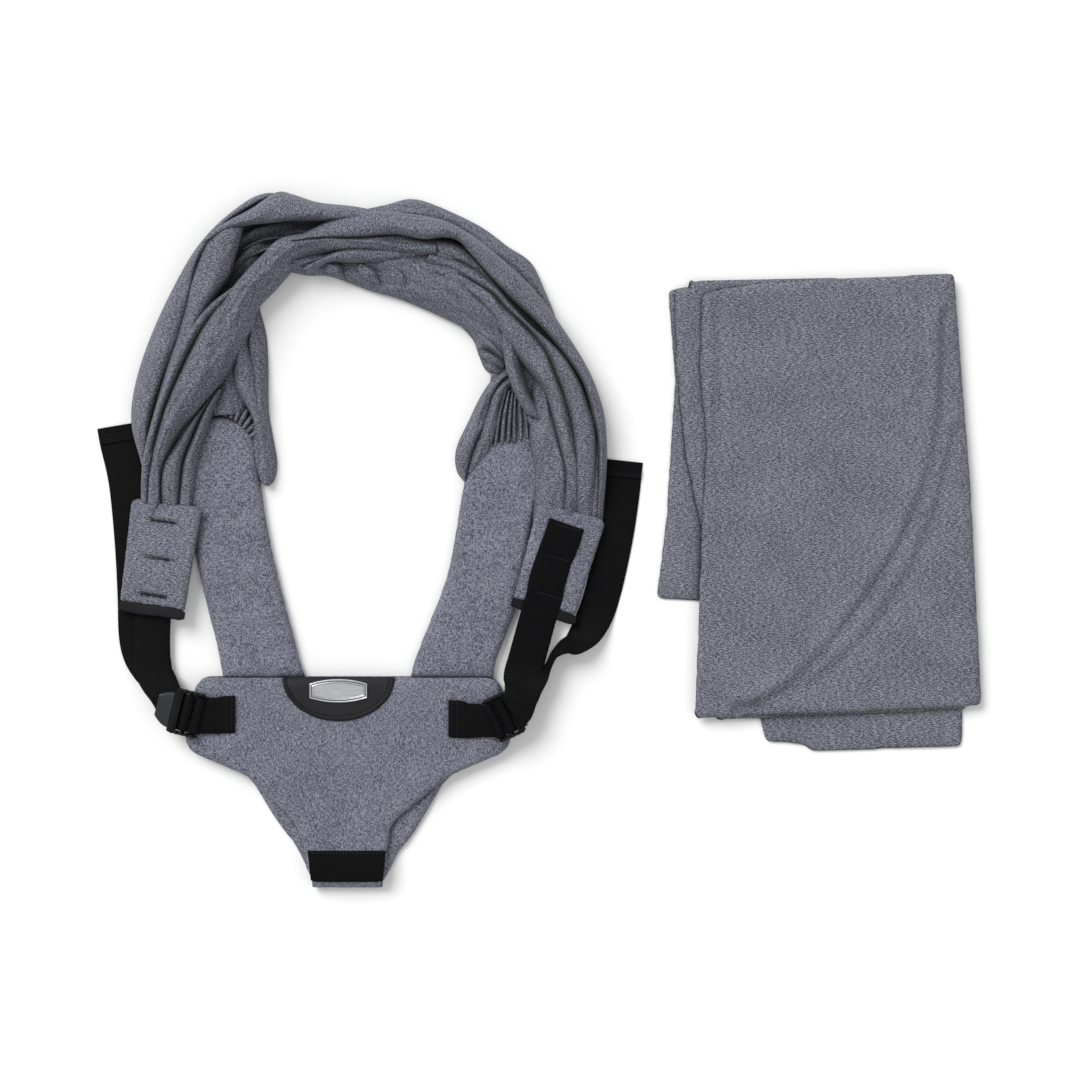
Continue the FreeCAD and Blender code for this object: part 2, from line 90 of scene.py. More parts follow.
class Shader:
    """A principled material, with short calls for the nodes that feed it."""

    def __init__(self, name, roughness, metallic=0.0, sheen=0.0, specular=0.5):
        self.material = bpy.data.materials.new(name)
        self.material.use_nodes = True
        self.tree = self.material.node_tree
        self.surface = self.tree.nodes["Principled BSDF"]
        for socket, value in (("Roughness", roughness), ("Metallic", metallic), ("Sheen Weight", sheen),
                              ("Sheen Roughness", 0.5), ("Specular IOR Level", specular)):
            self.surface.inputs[socket].default_value = value

    def node(self, kind, values=(), **settings):
        made = self.tree.nodes.new(kind)
        for key, value in settings.items():
            setattr(made, key, value)
        for key, value in dict(values).items():
            if isinstance(value, bpy.types.NodeSocket):
                self.tree.links.new(value, made.inputs[key])
            else:
                made.inputs[key].default_value = value
        return made

    def place(self, source, scale, turn=0.0):
        """Texture coordinates, scaled so that one unit is a length in metres divided by scale."""
        coordinate = self.node("ShaderNodeTexCoord").outputs[source]
        return self.node("ShaderNodeMapping", {"Vector": coordinate, "Scale": scale,
                                               "Rotation": (0, 0, math.radians(turn))}).outputs["Vector"]

    def noise(self, vector, detail=2.0, roughness=0.5):
        return self.node("ShaderNodeTexNoise", {
            "Vector": vector, "Scale": 1.0, "Detail": detail, "Roughness": roughness}).outputs["Fac"]

    def bands(self, vector, direction):
        return self.node("ShaderNodeTexWave", {"Vector": vector, "Scale": 1.0, "Distortion": 0.6,
                                               "Detail": 1.0, "Detail Scale": 1.0},
                         bands_direction=direction).outputs["Fac"]

    def math(self, operation, a, b):
        return self.node("ShaderNodeMath", {0: a, 1: b}, operation=operation).outputs[0]

    def ramp(self, value, *stops):
        made = self.node("ShaderNodeValToRGB", {"Fac": value})
        elements = made.color_ramp.elements
        while len(elements) < len(stops):
            elements.new(0.5)
        for element, (position, colour) in zip(elements, stops):
            element.position = position
            element.color = colour
        return made.outputs["Color"]

    def colour(self, value, hollow=None):
        """Base colour. A hollow is (reach in millimetres, darkest share, openness where that is met):
        painted shade, darkening the colour where an ambient occlusion test finds creases and hollows.
        """
        if hollow:
            reach, darkest, closed = hollow
            # painted shade: the colour is multiplied down where ambient occlusion finds creases and hollows
            open_share = self.node("ShaderNodeAmbientOcclusion", {"Distance": reach * MM},
                                   samples=8).outputs["AO"]
            shade = self.ramp(open_share, (closed, (darkest, darkest, darkest, 1)), (0.9, (1, 1, 1, 1)))
            value = self.node("ShaderNodeMixRGB", {"Fac": 1.0, "Color1": value, "Color2": shade},
                              blend_type="MULTIPLY").outputs["Color"]
        self.tree.links.new(value, self.surface.inputs["Base Color"])

    def rough(self, value, low, high):
        spread = self.node("ShaderNodeMapRange", {"Value": value, "To Min": low, "To Max": high})
        self.tree.links.new(spread.outputs[0], self.surface.inputs["Roughness"])

    def bump(self, value, depth, strength=1.0):
        made = self.node("ShaderNodeBump", {"Height": value, "Strength": strength, "Distance": depth * MM})
        self.tree.links.new(made.outputs["Normal"], self.surface.inputs["Normal"])


def per_mm(x, y, z=None):
    """Noise scale for features this many millimetres long on each axis."""
    return (1000 / x, 1000 / y, 1000 / (z or x))


def band_scale(pitch):
    """Wave texture scale for a repeat in millimetres: its bands repeat every pi / 10 units."""
    return (math.pi / 10) / (pitch * MM)


def woven(name, turn=0.0):
    """Melange plain weave: light and dark slubs along both threads over a fine over-and-under grid."""
    shader = Shader(name, 0.9, sheen=0.1, specular=0.2)
    warp = shader.noise(shader.place("Object", per_mm(0.6, 3.0), turn), 1)
    weft = shader.noise(shader.place("Object", per_mm(3.0, 0.6), turn), 1)
    speck = shader.noise(shader.place("Object", per_mm(0.65, 0.65), turn), 0)
    cloud = shader.noise(shader.place("Object", per_mm(40, 30), turn), 3)
    flecks = shader.math("MAXIMUM", warp, weft)
    mixed = shader.math("ADD", shader.math("MULTIPLY", flecks, 0.75), shader.math("MULTIPLY", speck, 0.25))
    mixed = shader.math("ADD", mixed, shader.math("MULTIPLY", cloud, 0.08))
    # The last value is painted shade: the colour darkens where ambient occlusion finds creases.
    shader.colour(shader.ramp(mixed, (0.475, srgb(*WOVEN_DARK)), (0.57, srgb(*WOVEN_MID)),
                              (0.665, srgb(*WOVEN_LIGHT))), (9, 0.45, 0.15))
    scale = band_scale(1.4)
    grid = shader.place("Object", (scale, scale, scale), turn)
    weave = shader.math("MULTIPLY", shader.bands(grid, "X"), shader.bands(grid, "Y"))
    shader.bump(shader.math("ADD", weave, flecks), 0.4, 0.8)
    return shader.material


def jersey(name, creased_with_painted_shade):
    """Heather jersey: short light and dark streaks. Gathered cloth also has small creases, and is painted a
    little darker, with deeper painted crease shade.
    """
    shader = Shader(name, 0.85, sheen=0.1, specular=0.2)
    streaks = shader.math("MAXIMUM", *(shader.noise(shader.place("UV", per_mm(3.8, 0.65), lean), 1)
                                       for lean in (-9, 9)))
    specks = shader.noise(shader.place("UV", per_mm(0.85, 0.65)), 0)
    cloud = shader.noise(shader.place("UV", per_mm(60, 45)), 3)
    flecks = shader.math("ADD", shader.math("MULTIPLY", streaks, 0.6), shader.math("MULTIPLY", specks, 0.4))
    mixed = shader.math("ADD", flecks, shader.math("MULTIPLY", cloud, 0.05))
    # Gathered cloth gets a slightly darker ramp than smooth cloth of the same jersey: painted shade among
    # its folds.
    middle = 0.565 if creased_with_painted_shade else 0.558
    # The last value is painted shade: the colour darkens where ambient occlusion finds creases, more deeply
    # on gathered cloth.
    shader.colour(shader.ramp(mixed, (middle - 0.085, srgb(*JERSEY_DARK)), (middle, srgb(*JERSEY_MID)),
                              (middle + 0.085, srgb(*JERSEY_LIGHT))),
                  (26, 0.08, 0.15) if creased_with_painted_shade else (20, 0.1, 0.42))
    height = shader.math("MULTIPLY", flecks, 0.25)
    if creased_with_painted_shade:
        height = shader.math("ADD", height, shader.noise(shader.place("UV", per_mm(4.5, 55)), 2))
        crumple = shader.noise(shader.place("UV", per_mm(24, 38)), 3)
        height = shader.math("ADD", height, shader.math("MULTIPLY", crumple, 2.6))
    shader.bump(height, 1.1 if creased_with_painted_shade else 0.9, 0.8)
    return shader.material


def webbing():
    """Black webbing with ribs across its width."""
    shader = Shader("webbing", 0.65, specular=0.08)
    scale = band_scale(2.3)
    ribs = shader.bands(shader.place("UV", (scale, scale, scale)), "Y")
    yarn = shader.noise(shader.place("UV", per_mm(2.4, 0.7)))
    mixed = shader.math("ADD", shader.math("MULTIPLY", ribs, 0.6), shader.math("MULTIPLY", yarn, 0.4))
    shader.colour(shader.ramp(mixed, (0.2, srgb(3, 3, 4)), (0.8, srgb(14, 14, 16))))
    shader.rough(yarn, 0.5, 0.75)
    shader.bump(mixed, 0.5, 0.9)
    return shader.material


def plain_cloth(name, dark, light, roughness, fine, depth):
    """Close dark cloth, for the label, the bindings and the thread."""
    shader = Shader(name, roughness, specular=0.25)
    yarn = shader.noise(shader.place("Object", per_mm(fine, fine * 2)))
    shader.colour(shader.ramp(yarn, (0.35, srgb(*dark)), (0.65, srgb(*light))))
    shader.bump(yarn, depth, 0.6)
    return shader.material


def moulded_plastic(name, dark, light, specular):
    """Satin black plastic with a fine spark-eroded grain and paler rubbed patches."""
    shader = Shader(name, 0.4, specular=specular)
    grain = shader.noise(shader.place("Object", per_mm(0.5, 0.5)))
    rub = shader.noise(shader.place("Object", per_mm(14, 14)), 3)
    shader.colour(shader.ramp(rub, (0.3, srgb(*dark)), (0.75, srgb(*light))))
    shader.rough(rub, 0.3, 0.5)
    shader.bump(grain, 0.05, 0.5)
    return shader.material


def badge_metal():
    """Satin silver with brushing along the badge."""
    shader = Shader("badge_metal", 0.32, metallic=0.9)
    brushing = shader.noise(shader.place("Object", per_mm(14, 0.3)), 3)
    shader.colour(shader.ramp(brushing, (0.3, srgb(178, 182, 184)), (0.7, srgb(216, 220, 222))))
    shader.rough(brushing, 0.24, 0.42)
    shader.bump(brushing, 0.05, 0.4)
    return shader.material


WOVEN_DARK, WOVEN_MID, WOVEN_LIGHT = (54, 56, 70), (95, 97, 112), (150, 153, 164)
JERSEY_DARK, JERSEY_MID, JERSEY_LIGHT = (44, 46, 57), (88, 90, 104), (156, 158, 168)
MATERIALS = {
    "woven": woven("woven"),
    "woven_left": woven("woven_left", 13),
    "woven_right": woven("woven_right", -15),
    # jersey is the gathered copy of the cloth, painted a little darker with deeper crease shade;
    # smooth_jersey is the same cloth laid flat.
    "jersey": jersey("jersey", True),
    "smooth_jersey": jersey("smooth_jersey", False),
    "webbing": webbing(),
    "binding": plain_cloth("binding", (6, 5, 9), (18, 16, 23), 0.7, 0.8, 0.2),
    "label": plain_cloth("label", (22, 22, 26), (32, 32, 36), 0.6, 0.7, 0.12),
    "piping": plain_cloth("piping", (10, 11, 15), (22, 23, 29), 0.6, 0.6, 0.15),
    "thread": plain_cloth("thread", (17, 18, 22), (36, 37, 44), 0.5, 0.3, 0.1),
    "plastic": moulded_plastic("plastic", (4, 4, 5), (11, 11, 12), 0.16),
    # The thumb plate's material is a paler, glossier copy of the black plastic: painted reflection of the
    # light it faces.
    "plate": moulded_plastic("plate", (22, 24, 27), (34, 36, 40), 0.45),
    "badge": badge_metal(),
}


# ---------------------------------------------------------------- mesh helpers
class Surface:
    """Vertices in millimetres, faces and one (across, along) texture place per vertex."""

    def __init__(self):
        self.points, self.faces, self.places = [], [], []

    def add(self, points, faces, places):
        base = len(self.points)
        self.points += [tuple(p) for p in points]
        self.places += [tuple(p) for p in places]
        self.faces += [tuple(base + i for i in face) for face in faces]

    def piece(self, name, material):
        """An object of this surface, smooth but for its end caps. Its UV map is in metres."""
        for number, face in enumerate(self.faces):
            if len(face) > 4:
                self.faces[number] = tuple(range(len(self.points), len(self.points) + len(face)))
                self.points += [self.points[i] for i in face]
                self.places += [self.places[i] for i in face]
        mesh = bpy.data.meshes.new(name)
        mesh.from_pydata([Vector(p) * MM for p in self.points], [], self.faces)
        layer = mesh.uv_layers.new(name="places")
        uv = np.array(self.places)[[loop.vertex_index for loop in mesh.loops]] * MM
        layer.data.foreach_set("uv", uv.ravel())
        mesh.polygons.foreach_set("use_smooth", [len(p.vertices) <= 4 for p in mesh.polygons])
        mesh.materials.append(MATERIALS[material])
        made = bpy.data.objects.new(name, mesh)
        bpy.context.scene.collection.objects.link(made)
        return made


def smooth_line(points, count):
    """Points evenly spaced along a smooth curve through the given ones. Columns after x, y and z
    are carried along with them."""
    given = np.array(points, float)
    padded = np.vstack([2 * given[0] - given[1], given, 2 * given[-1] - given[-2]])
    fine = []
    for i in range(1, len(padded) - 2):
        before, start, end, after = padded[i - 1:i + 3]
        for t in np.linspace(0, 1, 24, endpoint=False):
            fine.append(0.5 * (2 * start + (end - before) * t + (2 * before - 5 * start + 4 * end
                                                                 - after) * t * t
                               + (3 * start - before - 3 * end + after) * t ** 3))
    fine = np.array(fine + [given[-1]])
    reach = np.concatenate([[0], np.cumsum(np.linalg.norm(np.diff(fine[:, :3], axis=0), axis=1))])
    at = np.linspace(0, reach[-1], count)
    return np.stack([np.interp(at, reach, fine[:, k]) for k in range(given.shape[1])], axis=1)


def along(values, count):
    """A list of values spread evenly over count rows, with soft steps between them."""
    if np.isscalar(values):
        return np.full(count, float(values))
    return smooth_line([(i * 1000, v) for i, v in enumerate(values)], count)[:, 1]


def lengths(line):
    """Length along a line at each of its points."""
    return np.concatenate([[0], np.cumsum(np.linalg.norm(np.diff(line, axis=0), axis=1))])


def directions(line):
    """Unit vectors along a line at each of its points."""
    tangent = np.gradient(line, axis=0)
    return tangent / np.linalg.norm(tangent, axis=1)[:, None]


def tube_faces(rows, ring):
    """Quads of a closed tube of rings, with a cap at both ends."""
    faces = []
    for r in range(rows - 1):
        for c in range(ring):
            d = (c + 1) % ring
            faces.append((r * ring + c, r * ring + d, (r + 1) * ring + d, (r + 1) * ring + c))
    faces.append(tuple(reversed(range(ring))))
    faces.append(tuple((rows - 1) * ring + c for c in range(ring)))
    return faces


# ---------------------------------------------------------------- webbing
def strap_frame(path, rolls, widths, rows):
    """Centre line, directions across and out, and width of a strap along a path. Rolls, in degrees,
    and widths are given at the path's own points, or once for all of them."""
    ones = np.ones(len(path))
    table = smooth_line(np.column_stack([path, ones * rolls, ones * widths]), rows)
    line, roll = table[:, :3], np.radians(table[:, 3])
    tangent = directions(line)
    level = np.cross(tangent, (0, 0, 1.0))
    level /= np.linalg.norm(level, axis=1)[:, None]
    across = level * np.cos(roll)[:, None] + np.cross(level, tangent) * np.sin(roll)[:, None]
    return line, across, np.cross(across, tangent), table[:, 4]


def strip(surface, line, across, normal, wide, thick, start=0.0, columns=10):
    """A closed strip from its centre line and the directions across and out of it."""
    share = -np.cos(np.linspace(0, math.pi, columns + 1))
    height = thick / 2 * (1 - np.abs(share) ** 6) ** 0.5
    top = list(zip(share, height))
    ring = top + [(s, -h) for s, h in reversed(top[1:-1])]
    reach = lengths(line) + start
    points, places = [], []
    for row in range(len(line)):
        for s, h in ring:
            points.append(line[row] + across[row] * (s * wide[row]) + normal[row] * h)
            places.append((s * wide[row], reach[row]))
    surface.add(points, tube_faces(len(line), len(ring)), places)
    return reach[-1]


def flat_strip(surface, line, across, half, thick):
    """A closed strip of one width. The direction across is one for the whole line or one for each point."""
    line = np.array(line)
    across = np.array(np.broadcast_to(np.array(across, float), line.shape))
    strip(surface, line, across, np.cross(across, directions(line)), np.full(len(line), half), thick)


def place(surface, name, material, body, *nodes):
    """The piece of a surface, which rides on a body and takes the place of CAD nodes."""
    piece = surface.piece(name, material)
    if nodes:
        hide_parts(*nodes)
    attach(piece, body)
    return piece


# ---------------------------------------------------------------- gathered jersey
FOLD_SINK = 3.0
BELLY = 0.85


def fold(surface, edge_a, edge_b, z_a, z_b, crown, wrinkle=0.9, seed=0.0, step=3.2, columns=24,
         overlap=0.0, rest=0.3):
    """One long fold of cloth between two edge lines, as a closed shell that is domed between them.
    The edges' heights, the crown and fine wrinkles that run along the fold vary along its length. Its
    underside hangs by a share of its height, so that no gap shows between folds from the side."""
    rows = max(6, int(max(lengths(smooth_line(edge_a, 60))[-1],
                          lengths(smooth_line(edge_b, 60))[-1]) / step))
    a, b = smooth_line(edge_a, rows), smooth_line(edge_b, rows)
    aside = (b - a) / np.linalg.norm(b - a, axis=1)[:, None] * overlap
    a, b = a - aside, b + aside
    low_a, low_b, dome = along(z_a, rows), along(z_b, rows), along(crown, rows)
    share = -np.cos(np.linspace(0, math.pi, columns + 1))
    profile = (1 - np.abs(share) ** 2.3) ** 0.66
    reach = lengths((a + b) / 2)
    points, places = [], []
    for row in range(rows):
        width = np.linalg.norm(b[row] - a[row])
        top, bottom = [], []
        for s, p in zip(share, profile):
            x, y = a[row] + (b[row] - a[row]) * (s + 1) / 2
            edge = low_a[row] + (low_b[row] - low_a[row]) * (s + 1) / 2 - FOLD_SINK
            ripple = noise.noise((reach[row] / 46, s * width / 30 + seed, seed))
            crease = 1 - abs(noise.noise((reach[row] / 80, s * width / 36 + seed, seed + 9))) * 2
            fine = 1 - abs(noise.noise((reach[row] / 60, s * width / 15 + seed, seed + 4))) * 2
            relief = 1.6 * ripple + 1.8 * crease ** 3 + 1.1 * fine ** 3
            top.append((x, y, max(edge + (dome[row] + FOLD_SINK + 2) * p + wrinkle * p * relief, 0.3)))
            bottom.append((x, y, max(edge - (2 + BELLY * edge) * p, rest)))
        girth = lengths(np.array(top))
        girth -= girth[columns // 2]
        points += top + bottom[-2:0:-1]
        places += [(g + seed * 31, reach[row]) for g in list(girth) + list(girth[-2:0:-1])]
    ring = 2 * columns
    surface.add(points, tube_faces(rows, ring), places)


def pleat(cloth, line, step_aside, z_a, z_b, crown, wrinkle, seed, **more):
    """A short fold on both sides of a centre line. The step aside is its half width in x and y, one for
    all points of the line or one for each."""
    steps = np.broadcast_to(np.array(step_aside, float), (len(line), 2))
    middle = np.array(line, float)
    fold(cloth, middle - steps, middle + steps, z_a, z_b, crown, wrinkle, seed, **more)


def left_band():
    """Folds that leave the left tab, go round the arch and end on the right shoulder strap."""
    cloth = Surface()
    # broad outer fold and the one inside it
    fold(cloth, [(-211, 322), (-222, 362), (-220, 398), (-207, 443), (-182, 499), (-151, 550), (-108, 590),
                 (-80, 602), (-62, 594)],
         [(-205, 322), (-196, 372), (-183, 412), (-168, 450), (-158, 490), (-150, 530), (-124, 566),
          (-82, 592), (-62, 588)],
         [10, 8, 8, 9, 10, 12, 13, 9], [18, 23, 24, 25, 26, 26, 23, 10], [5, 10, 11, 11, 9, 7, 4, 2],
         seed=1, rest=3.0)
    fold(cloth, [(-207, 322), (-199, 372), (-187, 412), (-175, 450), (-166, 490), (-157, 522), (-148, 545),
                 (-138, 560)],
         [(-199, 322), (-186, 372), (-171, 412), (-153, 450), (-135, 490), (-119, 515), (-111, 542),
          (-105, 564)],
         [20, 21, 22, 22, 22, 23], [25, 26, 27, 28, 27, 26], [3, 5, 8, 10, 9, 6], seed=2)
    # narrow ridge
    fold(cloth, [(-213, 272), (-209, 325), (-198, 368), (-186, 403), (-172, 437), (-155, 466), (-138, 486),
                 (-116, 503)],
         [(-204, 272), (-198, 325), (-187, 368), (-175, 401), (-161, 433), (-147, 459), (-131, 479),
          (-112, 496)],
         [8, 18, 26, 30, 31, 31, 29], [9, 19, 27, 31, 32, 32, 29], [0, 5, 7, 7, 7, 6, 4], 0.4, seed=3,
         columns=14)
    # broad inner fold that becomes the inner edge and dives under the other band
    fold(cloth, [(-207, 272), (-200, 328), (-189, 368), (-177, 401), (-163, 433), (-150, 459), (-136, 480),
                 (-119, 499), (-101, 520), (-84, 537), (-70, 551), (-50, 557), (-17, 558), (16, 557),
                 (60, 556), (92, 550)],
         [(-190, 272), (-188, 315), (-178, 340), (-168, 357), (-150, 378), (-134, 398), (-120, 416),
          (-108, 438),
          (-96, 464), (-91, 482), (-72, 502), (-58, 518), (-45, 531), (-12, 537), (32, 538), (92, 534)],
         [9, 20, 27, 29, 29, 30, 31, 31, 30, 29, 28, 28], [12, 18, 23, 24, 21, 17, 17, 19, 22, 24, 25, 25],
         [0, 5, 9, 12, 13, 12, 9, 7, 6, 5, 5, 4], 1.9, seed=4, columns=34)
    # two narrow pleats beside it at the tab
    fold(cloth, [(-191, 272), (-189, 318), (-177, 342), (-163, 361), (-148, 378), (-136, 394)],
         [(-173, 272), (-168, 322), (-159, 348), (-150, 370), (-139, 390), (-130, 401)],
         [11, 18, 20, 20, 19, 17], [14, 18, 21, 21, 20, 18], [0, 5, 6, 6, 5, 3], 0.5, seed=5, columns=14)
    fold(cloth, [(-174, 272), (-168, 322), (-159, 348), (-150, 370), (-141, 388), (-133, 400)],
         [(-159, 272), (-155, 309), (-150, 335), (-142, 361), (-134, 385), (-127, 399)],
         [14, 16, 18, 18, 17, 15], [15, 14, 15, 16, 16, 14], [0, 5, 6, 6, 5, 3], 0.5, seed=6, columns=14)
    # thin pleats in the hollow below the crown
    hollow = (((-107, 544), (-84, 553), (-52, 556)), ((-106, 533), (-82, 543), (-50, 548)),
              ((-104, 520), (-84, 531), (-58, 539)))
    for number, line in enumerate(hollow):
        pleat(cloth, line, (0, -2.4), [9, 12, 14], [8, 10, 12], [1, 3, 2], 0.4, 70 + number, columns=10)
    # fold over the crown of the arch
    fold(cloth, [(-146, 552), (-128, 568), (-98, 584), (-72, 601), (-55, 599), (-29, 591), (8, 587),
                 (38, 581)],
         [(-143, 548), (-122, 560), (-102, 566), (-77, 568), (-54, 570), (-19, 570), (10, 570), (40, 564)],
         [20, 22, 22, 20, 19, 18, 16], [28, 31, 34, 35, 34, 31, 28], [3, 6, 8, 9, 8, 6, 4], 1.0, seed=7)
    # thin fold along the inner edge of the crown
    fold(cloth, [(-46, 524), (-28, 532), (-12, 539), (8, 543), (35, 543), (70, 543)],
         [(-38, 517), (-24, 526), (-10, 529), (12, 528), (38, 529), (70, 532)],
         [22, 27, 28, 27, 24], [18, 23, 24, 24, 20], [3, 5, 5, 4, 3], 0.4, seed=8, columns=14)
    # cloth that hangs inside the crown and runs down to the right shoulder strap
    fold(cloth, [(-62, 532), (-17, 548), (40, 552), (90, 545), (125, 526), (152, 500), (176, 470),
                 (190, 440), (196, 412)],
         [(-57, 520), (-40, 517), (-17, 516), (22, 502), (56, 492), (100, 473), (126, 458), (134, 440),
          (148, 424)],
         [22, 17, 14, 14, 19, 22, 20, 10], [12, 9, 8, 8, 8, 9, 10, 7], [4, 5, 6, 8, 10, 9, 7, 1], 2.4,
         seed=9,
         columns=34)
    hanging = (((-46, 529), (-38, 524), (-34, 521), 5), ((-20, 529), (-12, 522), (-4, 514), 8),
               ((14, 527), (24, 517), (34, 508), 7), ((42, 530), (54, 515), (63, 499), 8),
               ((68, 531), (88, 512), (108, 490), 9), ((102, 528), (122, 502), (133, 472), 9))
    for number, (top, middle, foot, half) in enumerate(hanging):
        pleat(cloth, (top, middle, foot), [(half, half / 2), (half, half / 2), (2, 1)],
              [17, 18, 12], [17, 18, 12], [2, 5, 2], 0.8, 60 + number, columns=16)
    return cloth


def right_band():
    """Folds that leave the right tab, go over the crown and on, underneath, to the left shoulder strap."""
    cloth = Surface()
    # underlying layer round the whole arch
    fold(cloth, [(258, 330), (252, 390), (228, 445), (190, 500), (140, 555), (70, 582), (0, 578),
                 (-70, 592),
                 (-146, 553), (-182, 488), (-190, 430), (-176, 388)],
         [(205, 330), (198, 400), (175, 440), (140, 475), (90, 490), (40, 508), (0, 520), (-50, 530),
          (-84, 500), (-96, 462), (-104, 425), (-108, 392)],
         [8, 8, 8, 9, 10, 12, 9, 6, 5, 5, 5], [10, 11, 11, 11, 12, 13, 11, 8, 7, 6, 5],
         [3, 3, 3, 5, 8, 9, 5, 1, 1, 4, 6], 3.2, seed=11, columns=34)
    # wide bright fold from the crown to the outer edge on the right
    fold(cloth, [(-58, 551), (-36, 562), (-12, 574), (15, 580), (50, 580), (95, 573), (127, 557),
                 (158, 533), (190, 503),
                 (218, 466), (247, 420), (262, 380), (266, 350), (266, 318), (262, 266)],
         [(-50, 548), (-20, 552), (15, 553), (50, 556), (79, 551), (100, 553), (115, 549), (130, 533),
          (163, 496),
          (195, 466), (224, 432), (242, 404), (251, 372), (257, 340), (255, 266)],
         [27, 28, 27, 26, 26, 26, 25, 23, 19, 13, 9, 5], [33, 36, 38, 39, 38, 37, 35, 32, 28, 24, 18, 7],
         [3, 5, 6, 7, 7, 8, 8, 8, 8, 8, 6, 0], 1.2, seed=12, columns=22)
    # darker facet outside it
    fold(cloth, [(14, 582), (40, 588), (64, 594), (89, 588), (134, 567), (163, 546), (187, 529),
                 (202, 498), (211, 476)],
         [(14, 574), (50, 573), (95, 566), (125, 552), (158, 529), (176, 513), (192, 496), (200, 484),
          (205, 473)],
         [12, 9, 7, 6, 6, 6, 6], [23, 22, 18, 15, 14, 12, 10], [4, 4, 3, 3, 3, 3, 2], 1.0, seed=13,
         overlap=2)
    # narrow fold tucked under the wide one
    fold(cloth, [(70, 553), (104, 550), (128, 536), (148, 513), (166, 492), (196, 465), (226, 431),
                 (243, 403),
                 (252, 372), (258, 340), (256, 266)],
         [(60, 541), (100, 534), (126, 523), (147, 505), (163, 487), (184, 463), (216, 437), (233, 414),
          (245, 383), (253, 350), (250, 266)],
         [24, 25, 22, 15, 12, 13, 15, 7], [24, 25, 22, 15, 12, 13, 15, 8], [3, 4, 4, 3, 3, 4, 4, 0], 0.4,
         seed=14, columns=14,
         overlap=2)
    # middle fold
    fold(cloth, [(86, 538), (112, 530), (136, 518), (152, 503), (166, 487), (186, 465), (216, 438),
                 (234, 412),
                 (246, 383), (254, 350), (252, 266)],
         [(80, 527), (110, 520), (134, 506), (152, 495), (164, 481), (187, 460), (204, 437), (213, 414),
          (222, 390), (230, 355), (234, 266)],
         [24, 28, 30, 31, 30, 27, 21, 8], [22, 26, 28, 27, 24, 22, 19, 10], [4, 7, 8, 8, 7, 7, 5, 0], 0.9,
         seed=15, overlap=1)
    # inner fold that turns over the right shoulder strap's end
    fold(cloth, [(92, 527), (122, 513), (150, 497), (160, 485), (186, 461), (204, 437), (213, 414),
                 (222, 390),
                 (228, 368), (234, 340), (238, 311), (236, 266)],
         [(90, 514), (116, 504), (136, 486), (151, 470), (166, 446), (180, 427), (192, 412), (203, 396),
          (210, 370), (216, 345), (222, 315), (220, 266)],
         [22, 26, 28, 28, 26, 23, 19, 10], [20, 22, 24, 24, 20, 18, 17, 12], [4, 7, 9, 9, 8, 7, 5, 0], 1.4,
         seed=16, overlap=1)
    # cloth beside it that lies on the edge of the shoulder strap
    fold(cloth, [(199, 430), (205, 410), (209, 392), (213, 372), (219, 345), (226, 315), (224, 266)],
         [(195, 429), (188, 406), (185, 386), (186, 355), (189, 335), (192, 310), (190, 262)],
         [11, 15, 18, 20, 19, 18, 12], [9, 11, 12, 12, 12, 13, 13], [1, 4, 6, 7, 7, 5, 0], 1.6, seed=17)
    return cloth


